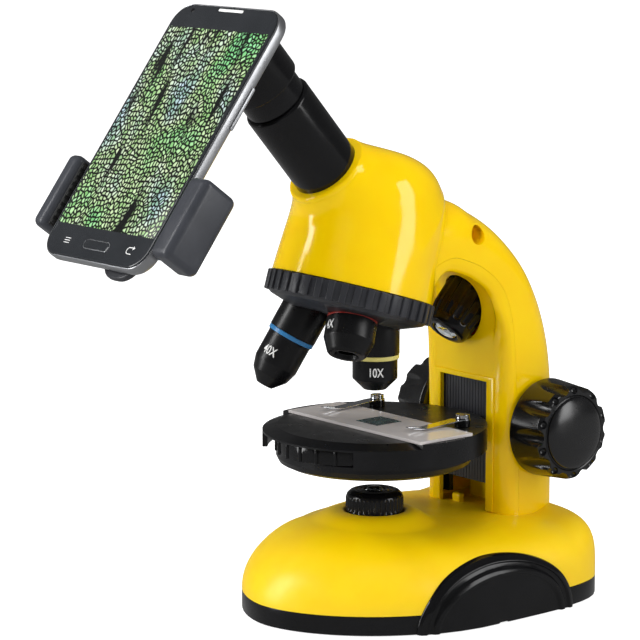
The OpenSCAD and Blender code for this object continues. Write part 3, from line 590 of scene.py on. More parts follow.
# %% Geometry Nodes trees
def rib_tree(name, sizes):
    """An empty tree with a rib coming in, its named sizes, and ribs going out."""
    tree = bpy.data.node_groups.new(name, "GeometryNodeTree")
    tree.interface.new_socket("Rib", in_out="INPUT", socket_type="NodeSocketGeometry")
    for size, kind in sizes:
        tree.interface.new_socket(size, in_out="INPUT", socket_type="NodeSocket" + kind)
    tree.interface.new_socket("Finish", in_out="INPUT", socket_type="NodeSocketMaterial")
    tree.interface.new_socket("Ribs", in_out="OUTPUT", socket_type="NodeSocketGeometry")
    return tree, tree.nodes.new("NodeGroupInput"), tree.nodes.new("NodeGroupOutput")


def copies(tree, given, wanted, points, rotation=None):
    """Copies of the rib on the points, made real and given their finish."""
    instances = tree.nodes.new("GeometryNodeInstanceOnPoints")
    link(tree, points, instances.inputs["Points"])
    link(tree, given.outputs["Rib"], instances.inputs["Instance"])
    if rotation is not None:
        link(tree, rotation, instances.inputs["Rotation"])
    real = tree.nodes.new("GeometryNodeRealizeInstances")
    link(tree, instances.outputs[0], real.inputs[0])
    painted = tree.nodes.new("GeometryNodeSetMaterial")
    link(tree, real.outputs[0], painted.inputs["Geometry"])
    link(tree, given.outputs["Finish"], painted.inputs["Material"])
    link(tree, painted.outputs[0], wanted.inputs[0])


def math_node(tree, operation, first, second):
    made = tree.nodes.new("ShaderNodeMath")
    made.operation = operation
    for socket, value in zip(made.inputs, (first, second)):
        if isinstance(value, (int, float)):
            socket.default_value = value
        else:
            link(tree, value, socket)
    return made.outputs[0]


def make_ring_tree():
    tree, given, wanted = rib_tree("ring_of_ribs", (("Count", "Int"), ("Radius", "Float")))
    circle = tree.nodes.new("GeometryNodeMeshCircle")
    link(tree, given.outputs["Count"], circle.inputs["Vertices"])
    link(tree, given.outputs["Radius"], circle.inputs["Radius"])
    index = tree.nodes.new("GeometryNodeInputIndex").outputs[0]
    share = math_node(tree, "DIVIDE", index, given.outputs["Count"])
    spin = tree.nodes.new("ShaderNodeCombineXYZ")
    link(tree, math_node(tree, "MULTIPLY", share, 2 * math.pi), spin.inputs["Z"])
    copies(tree, given, wanted, circle.outputs[0], spin.outputs[0])
    return tree


def make_row_tree():
    tree, given, wanted = rib_tree("row_of_ribs", (("Count", "Int"), ("Step", "Vector")))
    line = tree.nodes.new("GeometryNodeMeshLine")
    link(tree, given.outputs["Count"], line.inputs["Count"])
    link(tree, given.outputs["Step"], line.inputs["Offset"])
    copies(tree, given, wanted, line.outputs[0])
    return tree


def make_spots_tree():
    tree, given, wanted = rib_tree("copies_on_spots", (("Spots", "Object"),))
    spots = tree.nodes.new("GeometryNodeObjectInfo")
    link(tree, given.outputs["Spots"], spots.inputs["Object"])
    copies(tree, given, wanted, spots.outputs["Geometry"])
    return tree


ring_tree, row_tree, spots_tree = make_ring_tree(), make_row_tree(), make_spots_tree()


def repeated(rib, tree, finish, place, **sizes):
    """Runs a tree on the rib's object and keeps the result as its plain mesh."""
    modifier = rib.modifiers.new("ribs", "NODES")
    modifier.node_group = tree
    sizes["Finish"] = finishes[finish]
    for socket in tree.interface.items_tree:
        if socket.in_out == "INPUT" and socket.name in sizes:
            modifier[socket.identifier] = sizes[socket.name]
    settle(rib)
    rib.data.transform(place)
    smooth(rib)
    return rib


print("trees:", ring_tree.name, row_tree.name, spots_tree.name)

# %% [markdown]
# ## Base
# The base is a low yellow dome on a black rim. Its plan is two half superellipses, longer in front,
# and its height follows a superellipse too, with a raised seat round the lamp. Spokes run from the
# lamp hole to the rim, so the hole's lip and the rim both come out as clean rings of points.

# %% The dome
def lerp(a, b, t):
    return a + (b - a) * t


def ease(t):
    c = np.clip(t, 0, 1)
    return c * c * (3 - 2 * c)


BASE_HALF, BASE_MID, NOSE, TAIL = 53, 9.4, 62.6, 71.6
RIM_TOP, SEAT_Z, LAMP_HOLE, WALL, SEAM = 7.5, 36, 11.3, 2.6, 0.1
FRONT_POWER, REAR_POWER = 1.82, 4.7


def outness(x, y, grow):
    """0 in the middle of the base, 1 on its outline grown by grow."""
    reach = np.where(y < BASE_MID, NOSE, TAIL) + grow
    n = np.where(y < BASE_MID, FRONT_POWER, REAR_POWER)
    return ((np.abs(x) / (BASE_HALF + grow)) ** n + (np.abs(y - BASE_MID) / reach) ** n) ** (1 / n)


def dome_top(y):
    """Height in the middle: it falls towards the column, and rises behind it."""
    return lerp(37.3, 31, ease((y + 20.3) / 34)) + 6.4 * ease((y - 56) / 18.6)


def dome_power(y):
    """How square the dome's section is: round at the nose, full at the column."""
    return lerp(2.07, 4.05, ease((y + 12.3) / 39))


def dome_z(x, y, inset):
    s = np.minimum(1, outness(x, y, -inset))
    q = dome_power(y)
    z = RIM_TOP + (dome_top(y) - inset - RIM_TOP) * (1 - s ** q) ** (1 / q)
    near = 1 - ease((np.hypot(x, y) - 13.9) / 10.4)
    return lerp(z, SEAT_Z - inset, near)


def dome_rows(inset, spokes=288, steps=64):
    a = np.linspace(0, 2 * math.pi, spokes, endpoint=False)
    low, high = np.zeros(spokes), np.full(spokes, 120.0)
    for _ in range(50):
        half = (low + high) / 2
        inside = outness(half * np.cos(a), half * np.sin(a), -inset) < 1
        low, high = np.where(inside, half, low), np.where(inside, high, half)
    rows = []
    for r, drop in ((LAMP_HOLE, 1.2), (LAMP_HOLE, 0.8), (LAMP_HOLE + 0.12, 0.4), (LAMP_HOLE + 0.45, 0.1)):
        x, y = r * np.cos(a), r * np.sin(a)
        rows.append(np.stack([x, y, dome_z(x, y, inset) - (drop if inset == 0 else 0)], -1))
    start = LAMP_HOLE + 1.0
    for t in np.linspace(0, 1, steps):
        r = lerp(start, low, np.sin(t * math.pi / 2))
        x, y = r * np.cos(a), r * np.sin(a)
        z = dome_z(x, y, inset) if t < 1 else np.full(spokes, RIM_TOP + SEAM)
        rows.append(np.stack([x, y, z], -1))
    return np.array(rows)


keep(skin("base_dome", dome_rows(0), dome_rows(WALL), "yellow_soft", True, 40), "frame", "yellow_shell",
     "base_shell")

# %% [markdown]
# ## Rim, arches and underside
# A glossy black plate closes the base from below, and on each side a black arch with two raised
# ribs is let into the dome. The arch is drawn as a set of lines, each a share of its outer size at
# its own height over the dome, so the ribs follow the dome's curve everywhere.

# %% The black parts of the base
def side_x(y, z):
    n = np.where(y < BASE_MID, FRONT_POWER, REAR_POWER)
    reach = np.where(y < BASE_MID, NOSE, TAIL)
    h = np.clip((z - RIM_TOP) / (dome_top(y) - RIM_TOP), 0, 1)
    q = dome_power(y)
    s = (1 - h ** q) ** (1 / q)
    return BASE_HALF * np.maximum(0.01, s ** n - (np.abs(y - BASE_MID) / reach) ** n) ** (1 / n)


ARCH_MID, ARCH_HALF, ARCH_HIGH, FOOT_H = 17, 35.8, 25, 0.4
arch_lines = [(1, 0.6), (0.985, 1.7), (0.93, 2.1), (0.915, 1.1), (0.87, 1), (0.855, 1.9), (0.8, 1.8),
              (0.785, 0.8), (0.55, 0.8), (0.3, 0.8), (0.06, 0.8)]


def arch_line(share, off, steps=96):
    a = np.linspace(0, math.pi, steps + 1)
    y = ARCH_MID + ARCH_HALF * share * np.cos(a)
    z = FOOT_H + ARCH_HIGH * share ** 1.4 * np.sin(a)
    return np.stack([side_x(y, z) + off, y, z], -1)


def arch_profile():
    """The arch's lines with their corners eased: shares count as 30 mm wide for that."""
    line = [(30 * s, off) for s, off in arch_lines] + [(0, -5), (30, -5)]
    soft = [p for p in eased(line, 0.42) if p[1] > -1 and p[0] > 1]
    return [(x / 30, off) for x, off in soft]


def side_arch(side):
    front = np.array([arch_line(s, off) for s, off in arch_profile()])
    back = np.array([arch_line(s, 0.42) for s, off in arch_profile()])
    front[..., 0] *= side
    back[..., 0] *= side
    return skin(f"arch_{'right' if side > 0 else 'left'}", front, back, "black_gloss", angle=50)


keep(side_arch(1), "frame", "black_gloss", "side_arch_right")
keep(side_arch(-1), "frame", "black_gloss", "side_arch_left")
keep(softened("base_plate", "rim_plate", "black_gloss", 0.7, 3), "frame", "black_gloss", "base_plate")
keep(softened("battery_door", "battery_cover", "black_satin", 0.4), "frame", "black_gloss", "battery_door")

# %% [markdown]
# ## Arm
# The arm is one swept form, split down the middle of its back into two halves, as injection
# moulding needs. Three curves in the side view carry it: the lip inside the arch, the crown on the
# back and the middle of the cover. Each section between them is a superellipse. Building it from
# the same curves as the CAD model, only finer, keeps it smooth enough for a gloss finish.

# %% Sections of the arm
ARM_HALF, FLAT_SHARE, ARM_POWER, ARM_STEPS = 24, 0.25, 2.6, 144
lip = [[51.8, 32], [51.5, 46], [50.8, 62], [49.9, 80], [48.9, 95], [46.8, 108.5], [42, 119.2],
       [34, 126.2], [25.5, 130.3], [16, 132.3], [5.4, 127.4], [1, 117]]
crown = [[77.8, 32], [77.8, 46], [77.8, 62], [77.3, 80], [74.6, 96], [68.8, 111.5], [60, 126.2],
         [47.6, 139.2], [35, 147.6], [22, 152.6], [-8, 148], [-26, 128]]
inside = [[45.1, 32], [45.1, 46], [45.1, 62], [45.1, 80], [44.9, 93.2], [44.8, 104.2], [42.4, 116.4],
          [35.2, 128.4], [26.3, 134.2], [17.3, 136.6], [3.2, 130.8], [-1.8, 118.1]]


def along(curve, u):
    """A point of the Catmull-Rom curve through these points."""
    p = np.asarray(curve, float)
    i = min(int(u), len(p) - 2)
    a, b, c, d = p[max(i - 1, 0)], p[i], p[i + 1], p[min(i + 2, len(p) - 1)]
    t = u - i
    bend, twist = 2 * a - 5 * b + 4 * c - d, 3 * b - a - 3 * c + d
    return 0.5 * (2 * b + (c - a) * t + bend * t ** 2 + twist * t ** 3)


def on_base(points):
    out = np.array(points, float)
    out[:, 2] = dome_z(out[:, 0], out[:, 1], 0) - 0.3
    return out


def swept(section):
    """Rows of section(u) up the arm; the lowest stands on the base, with even rows up from it."""
    first = ARM_STEPS // 33
    rows = [section(11 * i / ARM_STEPS) for i in range(first, ARM_STEPS + 1)]
    foot = on_base(section(0))
    return np.array([lerp(foot, rows[0], k / 8) for k in range(8)] + rows)


def half_section(side, inset):
    angles = np.radians(np.linspace(0, 90, 41))
    k = 2 / ARM_POWER

    def section(u):
        low, high = along(lip, u), along(crown, u)
        deep = np.hypot(*(high - low))
        x = np.append(ARM_HALF - inset, (ARM_HALF - inset) * np.cos(angles) ** k)
        x[-1] = SEAM / 2
        share = np.append(0, lerp(FLAT_SHARE, 1 - inset / deep, np.sin(angles) ** k))
        yz = low + (high - low) * share[:, None]
        return np.column_stack([side * x, yz])

    return section


HEAD_LOW, HEAD_TOP, RIM_R = -38.8, 13.4, 30.2
head_line = [[RIM_R, HEAD_LOW], [29.6, -30], [28.8, -20], [27.9, -10], [27, -5], [25.8, -0.5], [24.2, 3.2],
             [22, 6.4], [18.8, 9.3], [15, 11.3], [10.4, 12.6], [5, 13.2], [0, HEAD_TOP]]
head_curve = [along(head_line, u) for u in np.linspace(0, len(head_line) - 1, 97)]


def head_room():
    """The head's own outline and a seam round it, to cut the arm with."""
    wall = [(max(0, r) + SEAM, z + SEAM) for r, z in head_curve[:-1]]
    profile = [(0, HEAD_LOW)] + wall + [(0, HEAD_TOP + SEAM)]
    return turned("head_room", profile, "yellow_shell", on_turret)


def ring_room():
    """Room over the turret's ring, where the arch comes down to it."""
    far, top, radius = -70, HEAD_LOW + 0.05, 33
    profile = [(0, far), (radius, far), (radius, top), (0, top)]
    return turned("ring_room", profile, "yellow_shell", on_turret)


def rod(place, radius, start, end, steps=96):
    profile = [(0, start), (radius, start), (radius, end), (0, end)]
    return turned("rod", profile, "yellow_shell", place, steps)


def rod_x(radius, start, end, y, z):
    return rod(at(0, y, z) @ turn_y(90), radius, start, end, 64)


KNOB_Y, KNOB_Z, BOSS_Y, BOSS_Z = 63.5, 63.3, 30.2, 139.7
SHAFT_HOLE, PIN_HOLE, SCREW_HOLE = 3.05, 3.05, 3.6
for side, label in ((1, "right"), (-1, "left")):
    outer, inner = swept(half_section(side, 0)), swept(half_section(side, WALL))
    half = skin(f"arm_{label}", outer, inner, "yellow_shell")
    ends = sorted((side * 10, side * 40))
    tools = [head_room(), ring_room(), rod_x(SHAFT_HOLE, *ends, KNOB_Y, KNOB_Z)]
    if side > 0:
        tools.append(rod_x(SCREW_HOLE, 10, 40, BOSS_Y, BOSS_Z))
    cut(half, *tools)
    smooth(half, 40)
    keep(half, "frame", "yellow_shell", f"arm_shell_{label}")

# %% [markdown]
# ## Front cover
# The cover closes the arm on the inside. Over the column it stands proud and is rounded off, and
# in the arch it becomes a rounded lip round a hollow. Both are drawn as eight points, and the one
# turns into the other on the way up. A smooth curve through the points gives the fine section.

# %% The cover inside the arch
COVER_T = 1.1
ARM_IN = ARM_HALF - WALL - 0.2


def column_section(half, depth):
    arc = [(17 + (half - 17) * math.cos(math.radians(w)), depth * math.sin(math.radians(w)))
           for w in (0, 20, 42, 66, 90)]
    return np.array(arc + [(15.2, depth), (8.5, depth), (0, depth)])


def hollow_section(g, hang):
    return np.array([(ARM_HALF, 0), (ARM_HALF - 0.4, -0.46 * hang), (ARM_HALF - 1.4, -0.85 * hang),
                     (ARM_HALF - 3, -hang), (ARM_HALF - 4.6, -0.8 * hang), (16.6, 0.5 * g),
                     (10.5, 0.93 * g), (0, g)])


def hollow_back(g, hang):
    return np.array([(ARM_HALF - 1.2, 0), (ARM_HALF - 1.7, -0.35 * hang), (ARM_HALF - 2.3, -0.56 * hang),
                     (ARM_HALF - 3, -0.63 * hang), (ARM_HALF - 3.5, -0.46 * hang),
                     (ARM_HALF - 5.7, 0.5 * g + 1.2), (10.8, 0.93 * g + COVER_T), (0, g + COVER_T)])


def cover_section(back):
    def section(u):
        low, high = along(lip, u), along(crown, u)
        deep = np.hypot(*(high - low))
        g = (along(inside, u) - low) @ (high - low) / deep
        plain = column_section(ARM_IN, g + COVER_T) if back else column_section(ARM_HALF, g)
        hang = 5.2 + 3.3 * ease((u - 8) / 3)
        hollow = hollow_back(g, hang) if back else hollow_section(g, hang)
        eight = lerp(plain, hollow, ease((u - 3.9) / 1.5))
        full = np.concatenate([eight, (eight * (-1, 1))[-2::-1]])
        fine = np.array([along(full, v) for v in np.linspace(0, len(full) - 1, 113)])
        yz = low + (high - low) * ((fine[:, 1:] - SEAM) / deep)
        return np.column_stack([fine[:, 0], yz])

    return section


def block(low, high, name="block"):
    (x0, y0, z0), (x1, y1, z1) = low, high
    points = [(x, y, z) for z in (z0, z1) for x, y in ((x0, y0), (x1, y0), (x1, y1), (x0, y1))]
    faces = [(3, 2, 1, 0), (4, 5, 6, 7), (0, 1, 5, 4), (1, 2, 6, 5), (2, 3, 7, 6), (3, 0, 4, 7)]
    return from_points(name, points, faces, "yellow_shell")


SLOT_X, SLOT_TOP = 13, 81
cover = skin("arch_cover", swept(cover_section(True)), swept(cover_section(False)), "yellow_shell")
cut(cover, head_room(), ring_room(), block((-30, -60, 90), (30, 8.45, 140)),
    block((-SLOT_X, 30, 20), (SLOT_X, 60, SLOT_TOP)),
    rod(on_lamp, 10.1, 0, 26), rod(on_lamp, 6.9, 0, 34))
smooth(cover, 40)
keep(cover, "frame", "yellow_shell", "front_cover")
keep(softened("slot_frame", "slot_border", "yellow_shell", 0.7, 3), "frame", "yellow_shell", "slot_frame")
lug = stacked("slot_lug", 2.2, 1.4, 0.8, pillow(29, 33.7, 0.8), "yellow_shell", at(-7.5, 49, 0))
keep(lug, "frame", "yellow_shell")
keep(block((-SLOT_X, 60.4, 28), (SLOT_X, 61.4, 41), "slot_back"), "frame", "yellow_shell")

# %% [markdown]
# ## Head
# The head is a dome over the turret, and the neck that holds the eyepiece tube grows out of it in
# one smooth sweep. Both are turned forms, and their two axes cross inside the dome. Seen from that
# crossing point, each is a distance for every direction, so a soft maximum of the two distances
# joins them with a fillet. That gives a cleaner gloss surface than a boolean and a bevel.

# %% The head with its neck
HEAD_MID, NECK_REACH, TUBE_HOLE = -15.0, 28.9, 12.75
tube_lean = math.radians(58.5)


def dome_reach(polar):
    """Distance from the crossing point to the dome, by angle from the turret's axis."""
    p = np.array(head_curve)
    angle = np.arctan2(p[:, 0], p[:, 1] - HEAD_MID)
    far = np.hypot(p[:, 0], p[:, 1] - HEAD_MID)
    order = np.argsort(angle)
    return np.interp(polar, angle[order], far[order])


def neck_reach(off_axis):
    """Distance to the neck, by angle from the tube's axis."""
    t = np.linspace(-6, NECK_REACH, 120)
    r = 15.1 + 0.16 * (NECK_REACH - t) + 0.006 * np.maximum(0, NECK_REACH - t - 6) ** 2
    angle, far = np.arctan2(r, t), np.hypot(r, t)
    end = NECK_REACH / np.cos(np.minimum(off_axis, 1.2))
    order = np.argsort(angle)
    side = np.interp(off_axis, angle[order], far[order])
    return np.where(off_axis < angle.min(), end, side)


def head_rows(inset, rows=170, cols=288):
    rim = math.atan2(RIM_R, HEAD_LOW - HEAD_MID)
    polar = np.linspace(0.004, rim, rows)[:, None]
    around = np.linspace(0, 2 * math.pi, cols, endpoint=False)[None, :]
    ray = np.stack(np.broadcast_arrays(np.sin(polar) * np.cos(around), np.sin(polar) * np.sin(around),
                                       np.cos(polar)), -1)
    tube = np.array([0, -math.sin(tube_lean), math.cos(tube_lean)])
    off_axis = np.arccos(np.clip(ray @ tube, -1, 1))
    dome, neck = np.broadcast_to(dome_reach(polar), off_axis.shape), neck_reach(off_axis)
    fillet = 7.0
    share = np.clip(0.5 + 0.5 * (dome - neck) / fillet, 0, 1)
    far = neck + (dome - neck) * share + fillet * share * (1 - share)
    far = np.where(polar > rim - 1e-6, dome, far)
    grid = ray * (far - inset)[..., None] + (0, 0, HEAD_MID)
    if inset:
        grid[-1, :, 2] = HEAD_LOW
    return grid


head = skin("head_dome", head_rows(0), head_rows(WALL), "yellow_shell", True, 40)
work = bmesh.new()
work.from_mesh(head.data)
open_edges = [e for e in work.edges if e.is_boundary]
bmesh.ops.holes_fill(work, edges=open_edges, sides=0)
work.to_mesh(head.data)
work.free()
head.data.transform(on_turret)
cut(head, rod(on_tube, TUBE_HOLE, 10, 60))
smooth(head, 40)
keep(head, "frame", "yellow_shell", "head_housing")
neck_rim = eased([(TUBE_HOLE, 33), (15.2, 33), (15.8, 33.7), (15.8, 35.2), (15, 36),
                  (TUBE_HOLE, 36)], 0.5)
keep(turned("neck_rim", neck_rim, "yellow_shell", on_tube), "frame", "yellow_shell")

# %% [markdown]
# ## Screw well
# The arm's screw sits deep in a plain round well, so from outside only the well's yellow wall is
# seen. It is a small turned cup let into the hole in the right half of the arm.

# %% The well
well = eased([(0, 15.7), (4.3, 15.7), (4.3, 21.3), (SCREW_HOLE, 21.3), (SCREW_HOLE, 16.3), (0, 16.3)], 0.2)
on_screw = at(0, BOSS_Y, BOSS_Z) @ turn_y(90)
keep(turned("screw_well", well, "yellow_shell", on_screw, 64), "frame", "yellow_shell")

# %% [markdown]
# ## Turret
# The turret is a disc with a ribbed grip, a flat cone below it and a boss for each objective. The
# ribs are one rounded bar that the ring tree repeats forty times. Disc, bosses and ribs are simple
# forms on their own; only the disc gets three round recesses that let the objectives in.

# %% The turret disc and its grip
RING_LOW, RING_HIGH, SEAT, RIBS = -46.5, -39.1, 50.5, 40


def joined(name, parts):
    """One mesh from several pieces, with the first one's finish."""
    finish = parts[0].data.materials[0]
    work = bmesh.new()
    for part in parts:
        work.from_mesh(part.data)
        bpy.data.objects.remove(part)
    mesh = bpy.data.meshes.new(name)
    work.to_mesh(mesh)
    work.free()
    mesh.materials.append(finish)
    return add_object(name, mesh)


disc = eased([(PIN_HOLE, RING_LOW - 4), (20, RING_LOW - 4), (28.6, RING_LOW - 1), (29.8, RING_LOW),
              (30.6, RING_LOW + 0.3), (30.6, RING_HIGH - 0.3), (30.2, RING_HIGH), (26, RING_HIGH),
              (26, RING_HIGH - 1.5), (PIN_HOLE, RING_HIGH - 1.5)], 0.5)
boss = eased([(6.05, SEAT - 6.5), (9.7, SEAT - 6.5), (9.7, SEAT - 0.3), (9.4, SEAT), (6.05, SEAT)], 0.3)
parts = [turned("disc", disc, "dark_grey", on_turret)]
cut(parts[0], *[rod(on_objective(k), 9.6, SEAT, SEAT + 20) for k in range(3)])
parts += [turned("boss", boss, "dark_grey", on_objective(k)) for k in range(3)]
keep(joined("turret_body", parts), "turret", "dark_grey", "turret_disc")
rib = stacked("turret_grip", 0.8, 1.3, 0.45, pillow(RING_LOW, RING_HIGH, 0.35), "dark_grey")
keep(repeated(rib, ring_tree, "dark_grey", on_turret, Count=RIBS, Radius=30.7 * MM), "turret", "dark_grey")

# %% [markdown]
# ## Objectives
# Three black lenses of different length, each with a coloured ring and its power in white. They are
# turned from the CAD outlines with eased corners. The numerals start as flat text, become a mesh,
# and are bent round the barrel point by point, a few hundredths of a millimetre proud of it.

# %% The objectives and their rings
STRIPE_IN, STRIPE_WIDE = 8, 1.6
shoulder = [(3, -7), (6, -7), (6, 0)]
# number of the seat, outline from the seat down, and the ring's radius, place and slot
objectives = {
    "4x": (2, [(9.3, 0), (9.3, 1.9), (8, 1.9), (8, 3.5), (9.3, 3.5), (9.3, 11.1), (9, 11.7), (7.2, 16.1),
               (6.6, 16.7), (4.6, 16.7), (4.2, 15.1), (3, 15.1)], 9.2, 1.9, "red_band"),
    "10x": (0, [(9.2, 0), (9.2, 12.9), (8, 12.9), (8, 14.5), (8.6, 14.5), (8.45, 15.5), (8.45, 22.1),
                (4.2, 26.3), (3, 26.3)], 9.1, 12.9, "yellow_band"),
    "40x": (1, [(9.1, 0), (9.1, 12.9), (8, 12.9), (8, 14.5), (8.6, 14.5), (8.4, 15.3), (8.4, 25.7), (7, 30.1),
                (3.2, 34.5), (3, 34.5)], 9.0, 12.9, "blue_band"),
}
for label, (k, line, radius, start, slot) in objectives.items():
    place = on_objective(k) @ at(0, 0, SEAT)
    outline = eased([(3, line[-1][1])] + shoulder + line, 0.3)
    barrel = turned(f"barrel_{label}", outline, "black_satin", place)
    keep(barrel, "turret", "black_satin", f"objective_{label}")
    end = start + STRIPE_WIDE
    ring = eased([(STRIPE_IN, start), (radius, start), (radius, end), (STRIPE_IN, end)], 0.2)
    keep(turned(f"ring_{label}", ring, slot, place), "turret", slot, f"band_{label}")

# %% The numerals
def numerals(text, k, radius, turn, down, tall):
    """White text bent round an objective, its top towards the turret."""
    flat = bpy.data.curves.new("text", "FONT")
    flat.body, flat.size, flat.align_x, flat.align_y = text, tall / 0.7 * MM, "CENTER", "CENTER"
    flat.offset = 0.07 * MM
    source = add_object("text", flat)
    graph = bpy.context.evaluated_depsgraph_get()
    mesh = bpy.data.meshes.new_from_object(source.evaluated_get(graph))
    bpy.data.objects.remove(source)
    work = bmesh.new()
    work.from_mesh(mesh)
    bmesh.ops.remove_doubles(work, verts=work.verts, dist=1e-6)
    bmesh.ops.triangulate(work, faces=work.faces)
    bmesh.ops.subdivide_edges(work, edges=work.edges, cuts=1, use_grid_fill=True)
    bmesh.ops.triangulate(work, faces=work.faces)
    squeeze, proud = 0.72, 0.03
    for v in work.verts:
        a = math.radians(turn) - squeeze * v.co.x / (radius * MM)
        far = (radius + proud) * MM
        v.co = (far * math.cos(a), far * math.sin(a), (SEAT + down) * MM - v.co.y)
    work.to_mesh(mesh)
    work.free()
    mesh.materials.clear()
    mesh.materials.append(finishes["white_print"])
    made = add_object(f"mark_{text}", mesh)
    wall = made.modifiers.new("wall", "SOLIDIFY")
    wall.thickness, wall.offset = 0.1 * MM, 0
    settle(made)
    made.data.transform(on_objective(k))
    return made


for text, k, radius, turn, down in (
        ("4X", 2, 9.3, -22, 7.6), ("10X", 0, 8.45, 38.3, 19), ("40X", 1, 8.4, 191.8, 21.75)):
    keep(numerals(text, k, radius, turn, down, 3.3), "turret", None)

# %% [markdown]
# ## Eyepiece
# A smooth black tube leaves the neck, the eyepiece slides in it, and the phone holder's collar grips
# the eyepiece. All three are turned. The collar meets the holder's plate at a slant, so it is turned
# too long and then cut along the plate.

# %% The tube, the eyepiece and the collar
tube = eased([(9.6, 21), (12.7, 21), (12.7, 70), (11.9, 70.8), (9.6, 70.8)], 0.5)
keep(turned("tube_black", tube, "black_gloss", on_tube), "frame", "black_gloss", "eyepiece_tube")
cup = eased([(9, 48), (11.1, 48), (11.1, 71.1), (11.6, 71.1), (11.6, 87), (10.6, 88), (9, 88)], 0.5)
keep(turned("eyepiece_cup", cup, "black_gloss", on_tube), "eyepiece", "black_gloss", "eyepiece_barrel")
PHONE_BACK, PLATE_LOW, GUIDE_LOW = -5.7, -8.2, -14.6
collar_line = eased([(11.65, 79), (13.3, 79), (13.3, 112), (11.65, 112)], 0.6)
collar = turned("collar", collar_line, "black_gloss", on_tube)
lid = block((-60, -80, PLATE_LOW + 0.05), (60, 90, 80))
lid.data.transform(on_phone)
cut(collar, lid)
smooth(collar)
keep(collar, "holder", "black_gloss")

# %% [markdown]
# ## Phone holder
# A flat plate behind the phone carries two jaws, and the left one slides on a pair of steel rods.
# The jaws are stacks of rounded rectangles laid along the phone. Their front edges next to the
# glass are tight and the outer ones are soft, as on the real moulding.

# %% The plate and the jaws
JAW_LOW, JAW_HIGH, JAW_FRONT = -46.5, -15.7, 2.9
plate = joined("holder_back", [
    stacked("plate", 19, 50, 8, pillow(PLATE_LOW, PHONE_BACK, 0.6), "dark_grey", on_phone @ at(0, 2, 0)),
    stacked("tab", 9.6, 13.8, 8, pillow(PLATE_LOW, PHONE_BACK, 0.8), "dark_grey", on_phone @ at(10, -41, 0))])
keep(plate, "holder", "dark_grey", "holder_plate")
keep(softened("holder_guide", "jaw_guide", "dark_grey", 0.6, 3), "holder", "dark_grey", "holder_guide")


def jaw(name, left, right, start, end, low, corners):
    """A jaw between two x places, from start to end up the phone; corners start at the right rear."""
    middle = at((left + right) / 2, (start + end) / 2, (low + JAW_FRONT) / 2)
    half = (end - start) / 2
    return stacked(name, (right - left) / 2, (JAW_FRONT - low) / 2, corners, pillow(-half, half, 2.6, 8),
                   "jaw_grey", on_phone @ middle @ turn_x(-90))


right = jaw("jaw_right", 32.6, 43.2, JAW_LOW, JAW_HIGH, GUIDE_LOW + 1.2, (3.5, 2.6, 2.6, 3.0))
keep(right, "holder", "dark_grey", "right_jaw")
left = jaw("jaw_left", -40, -32.6, JAW_LOW + 3, JAW_HIGH + 1.5, GUIDE_LOW, (2.6, 3.2, 3.0, 2.6))
keep(left, "jaw", "dark_grey", "left_jaw")
ROD_PLACES = [(JAW_LOW + 8.5, -11.4), (JAW_LOW + 20.5, -11.4)]
rods = []
for y, z in ROD_PLACES:
    rod = eased([(0, -36.6), (1.2, -36.6), (1.2, 10), (0, 10)], 0.3)
    rods.append(turned("rod", rod, "steel", on_phone @ at(0, y, z) @ turn_y(90), 32))
keep(joined("jaw_rods", rods), "jaw", "steel")

# %% The pads and their ribs
keep(softened("right_pad", "pad_right", "black_rubber", 0.4), "holder", "black_rubber", "right_pad")
pad = stacked("pad_left", 0.65, 2.8, 0.4, pillow(JAW_LOW + 4.6, JAW_HIGH - 0.4, 0.4), "black_rubber",
              on_phone @ at(-31.95, 0, -1.9) @ turn_x(-90))
keep(pad, "jaw", "black_rubber", "left_pad")
rib = stacked("pad_ribs", 0.4, 2.8, 0.35, pillow(-0.8, 0.8, 0.35), "black_rubber")
keep(repeated(rib, row_tree, "black_rubber", on_phone @ at(-31, JAW_LOW + 6, -1.9) @ turn_x(-90), Count=9,
              Step=(0, 0, 2.8 * MM)), "jaw", "black_rubber")

# %% [markdown]
# ## Phone
# A thin phone in silver metal with a dark glass face. The case is a stack of rounded rectangles
# whose rim leaves a pocket for the glass. The screen is a slab of its own, and its UV map is in
# millimetres, so that the picture's cells have their true size.

# %% The phone
PHONE_X, PHONE_Y, PHONE_T = 30.3, 52.8, 5.4
case_layers = [(2.4, -PHONE_T), (1.3, -PHONE_T + 0.14), (0.6, -PHONE_T + 0.5), (0.15, -PHONE_T + 1.1),
               (0, -PHONE_T + 1.7), (0, -1.05), (0.08, -0.7), (0.25, -0.5), (0.45, -0.42), (0.58, -0.5),
               (0.6, -1.2)]
case = stacked("phone_case", PHONE_X, PHONE_Y, 8.6, case_layers, "phone_metal", on_phone)
keep(case, "phone", "phone_metal", "phone_body")
keep(stacked("side_key", 0.7, 8.6, 0.66, pillow(-0.8, 0.45, 0.22), "phone_metal",
             on_phone @ at(PHONE_X, 14.8, 1.2 - PHONE_T) @ turn_y(90)), "phone", "phone_metal")
face_layers = [(0, -1.15), (0, -0.6), (0.1, -0.35), (0.35, -0.12), (0.8, -0.03)]
face = stacked("phone_face", PHONE_X - 0.7, PHONE_Y - 0.7, 7.9, face_layers, "phone_glass", on_phone)
keep(face, "phone", "phone_glass", "phone_glass")
SCREEN_X, SCREEN_Y, SCREEN_MID = 28.3, 41.3, 1.2
picture = stacked("lit_screen", SCREEN_X, SCREEN_Y, 0.4, [(0, -0.3), (0, -0.015), (0.03, 0)], "phone_screen")
uv = picture.data.uv_layers.new(name="screen")
for loop in picture.data.loops:
    uv.data[loop.index].uv = (picture.data.vertices[loop.vertex_index].co / MM).xy
picture.data.transform(on_phone @ at(0, SCREEN_MID, 0))
keep(picture, "phone", "phone_screen", "phone_screen")

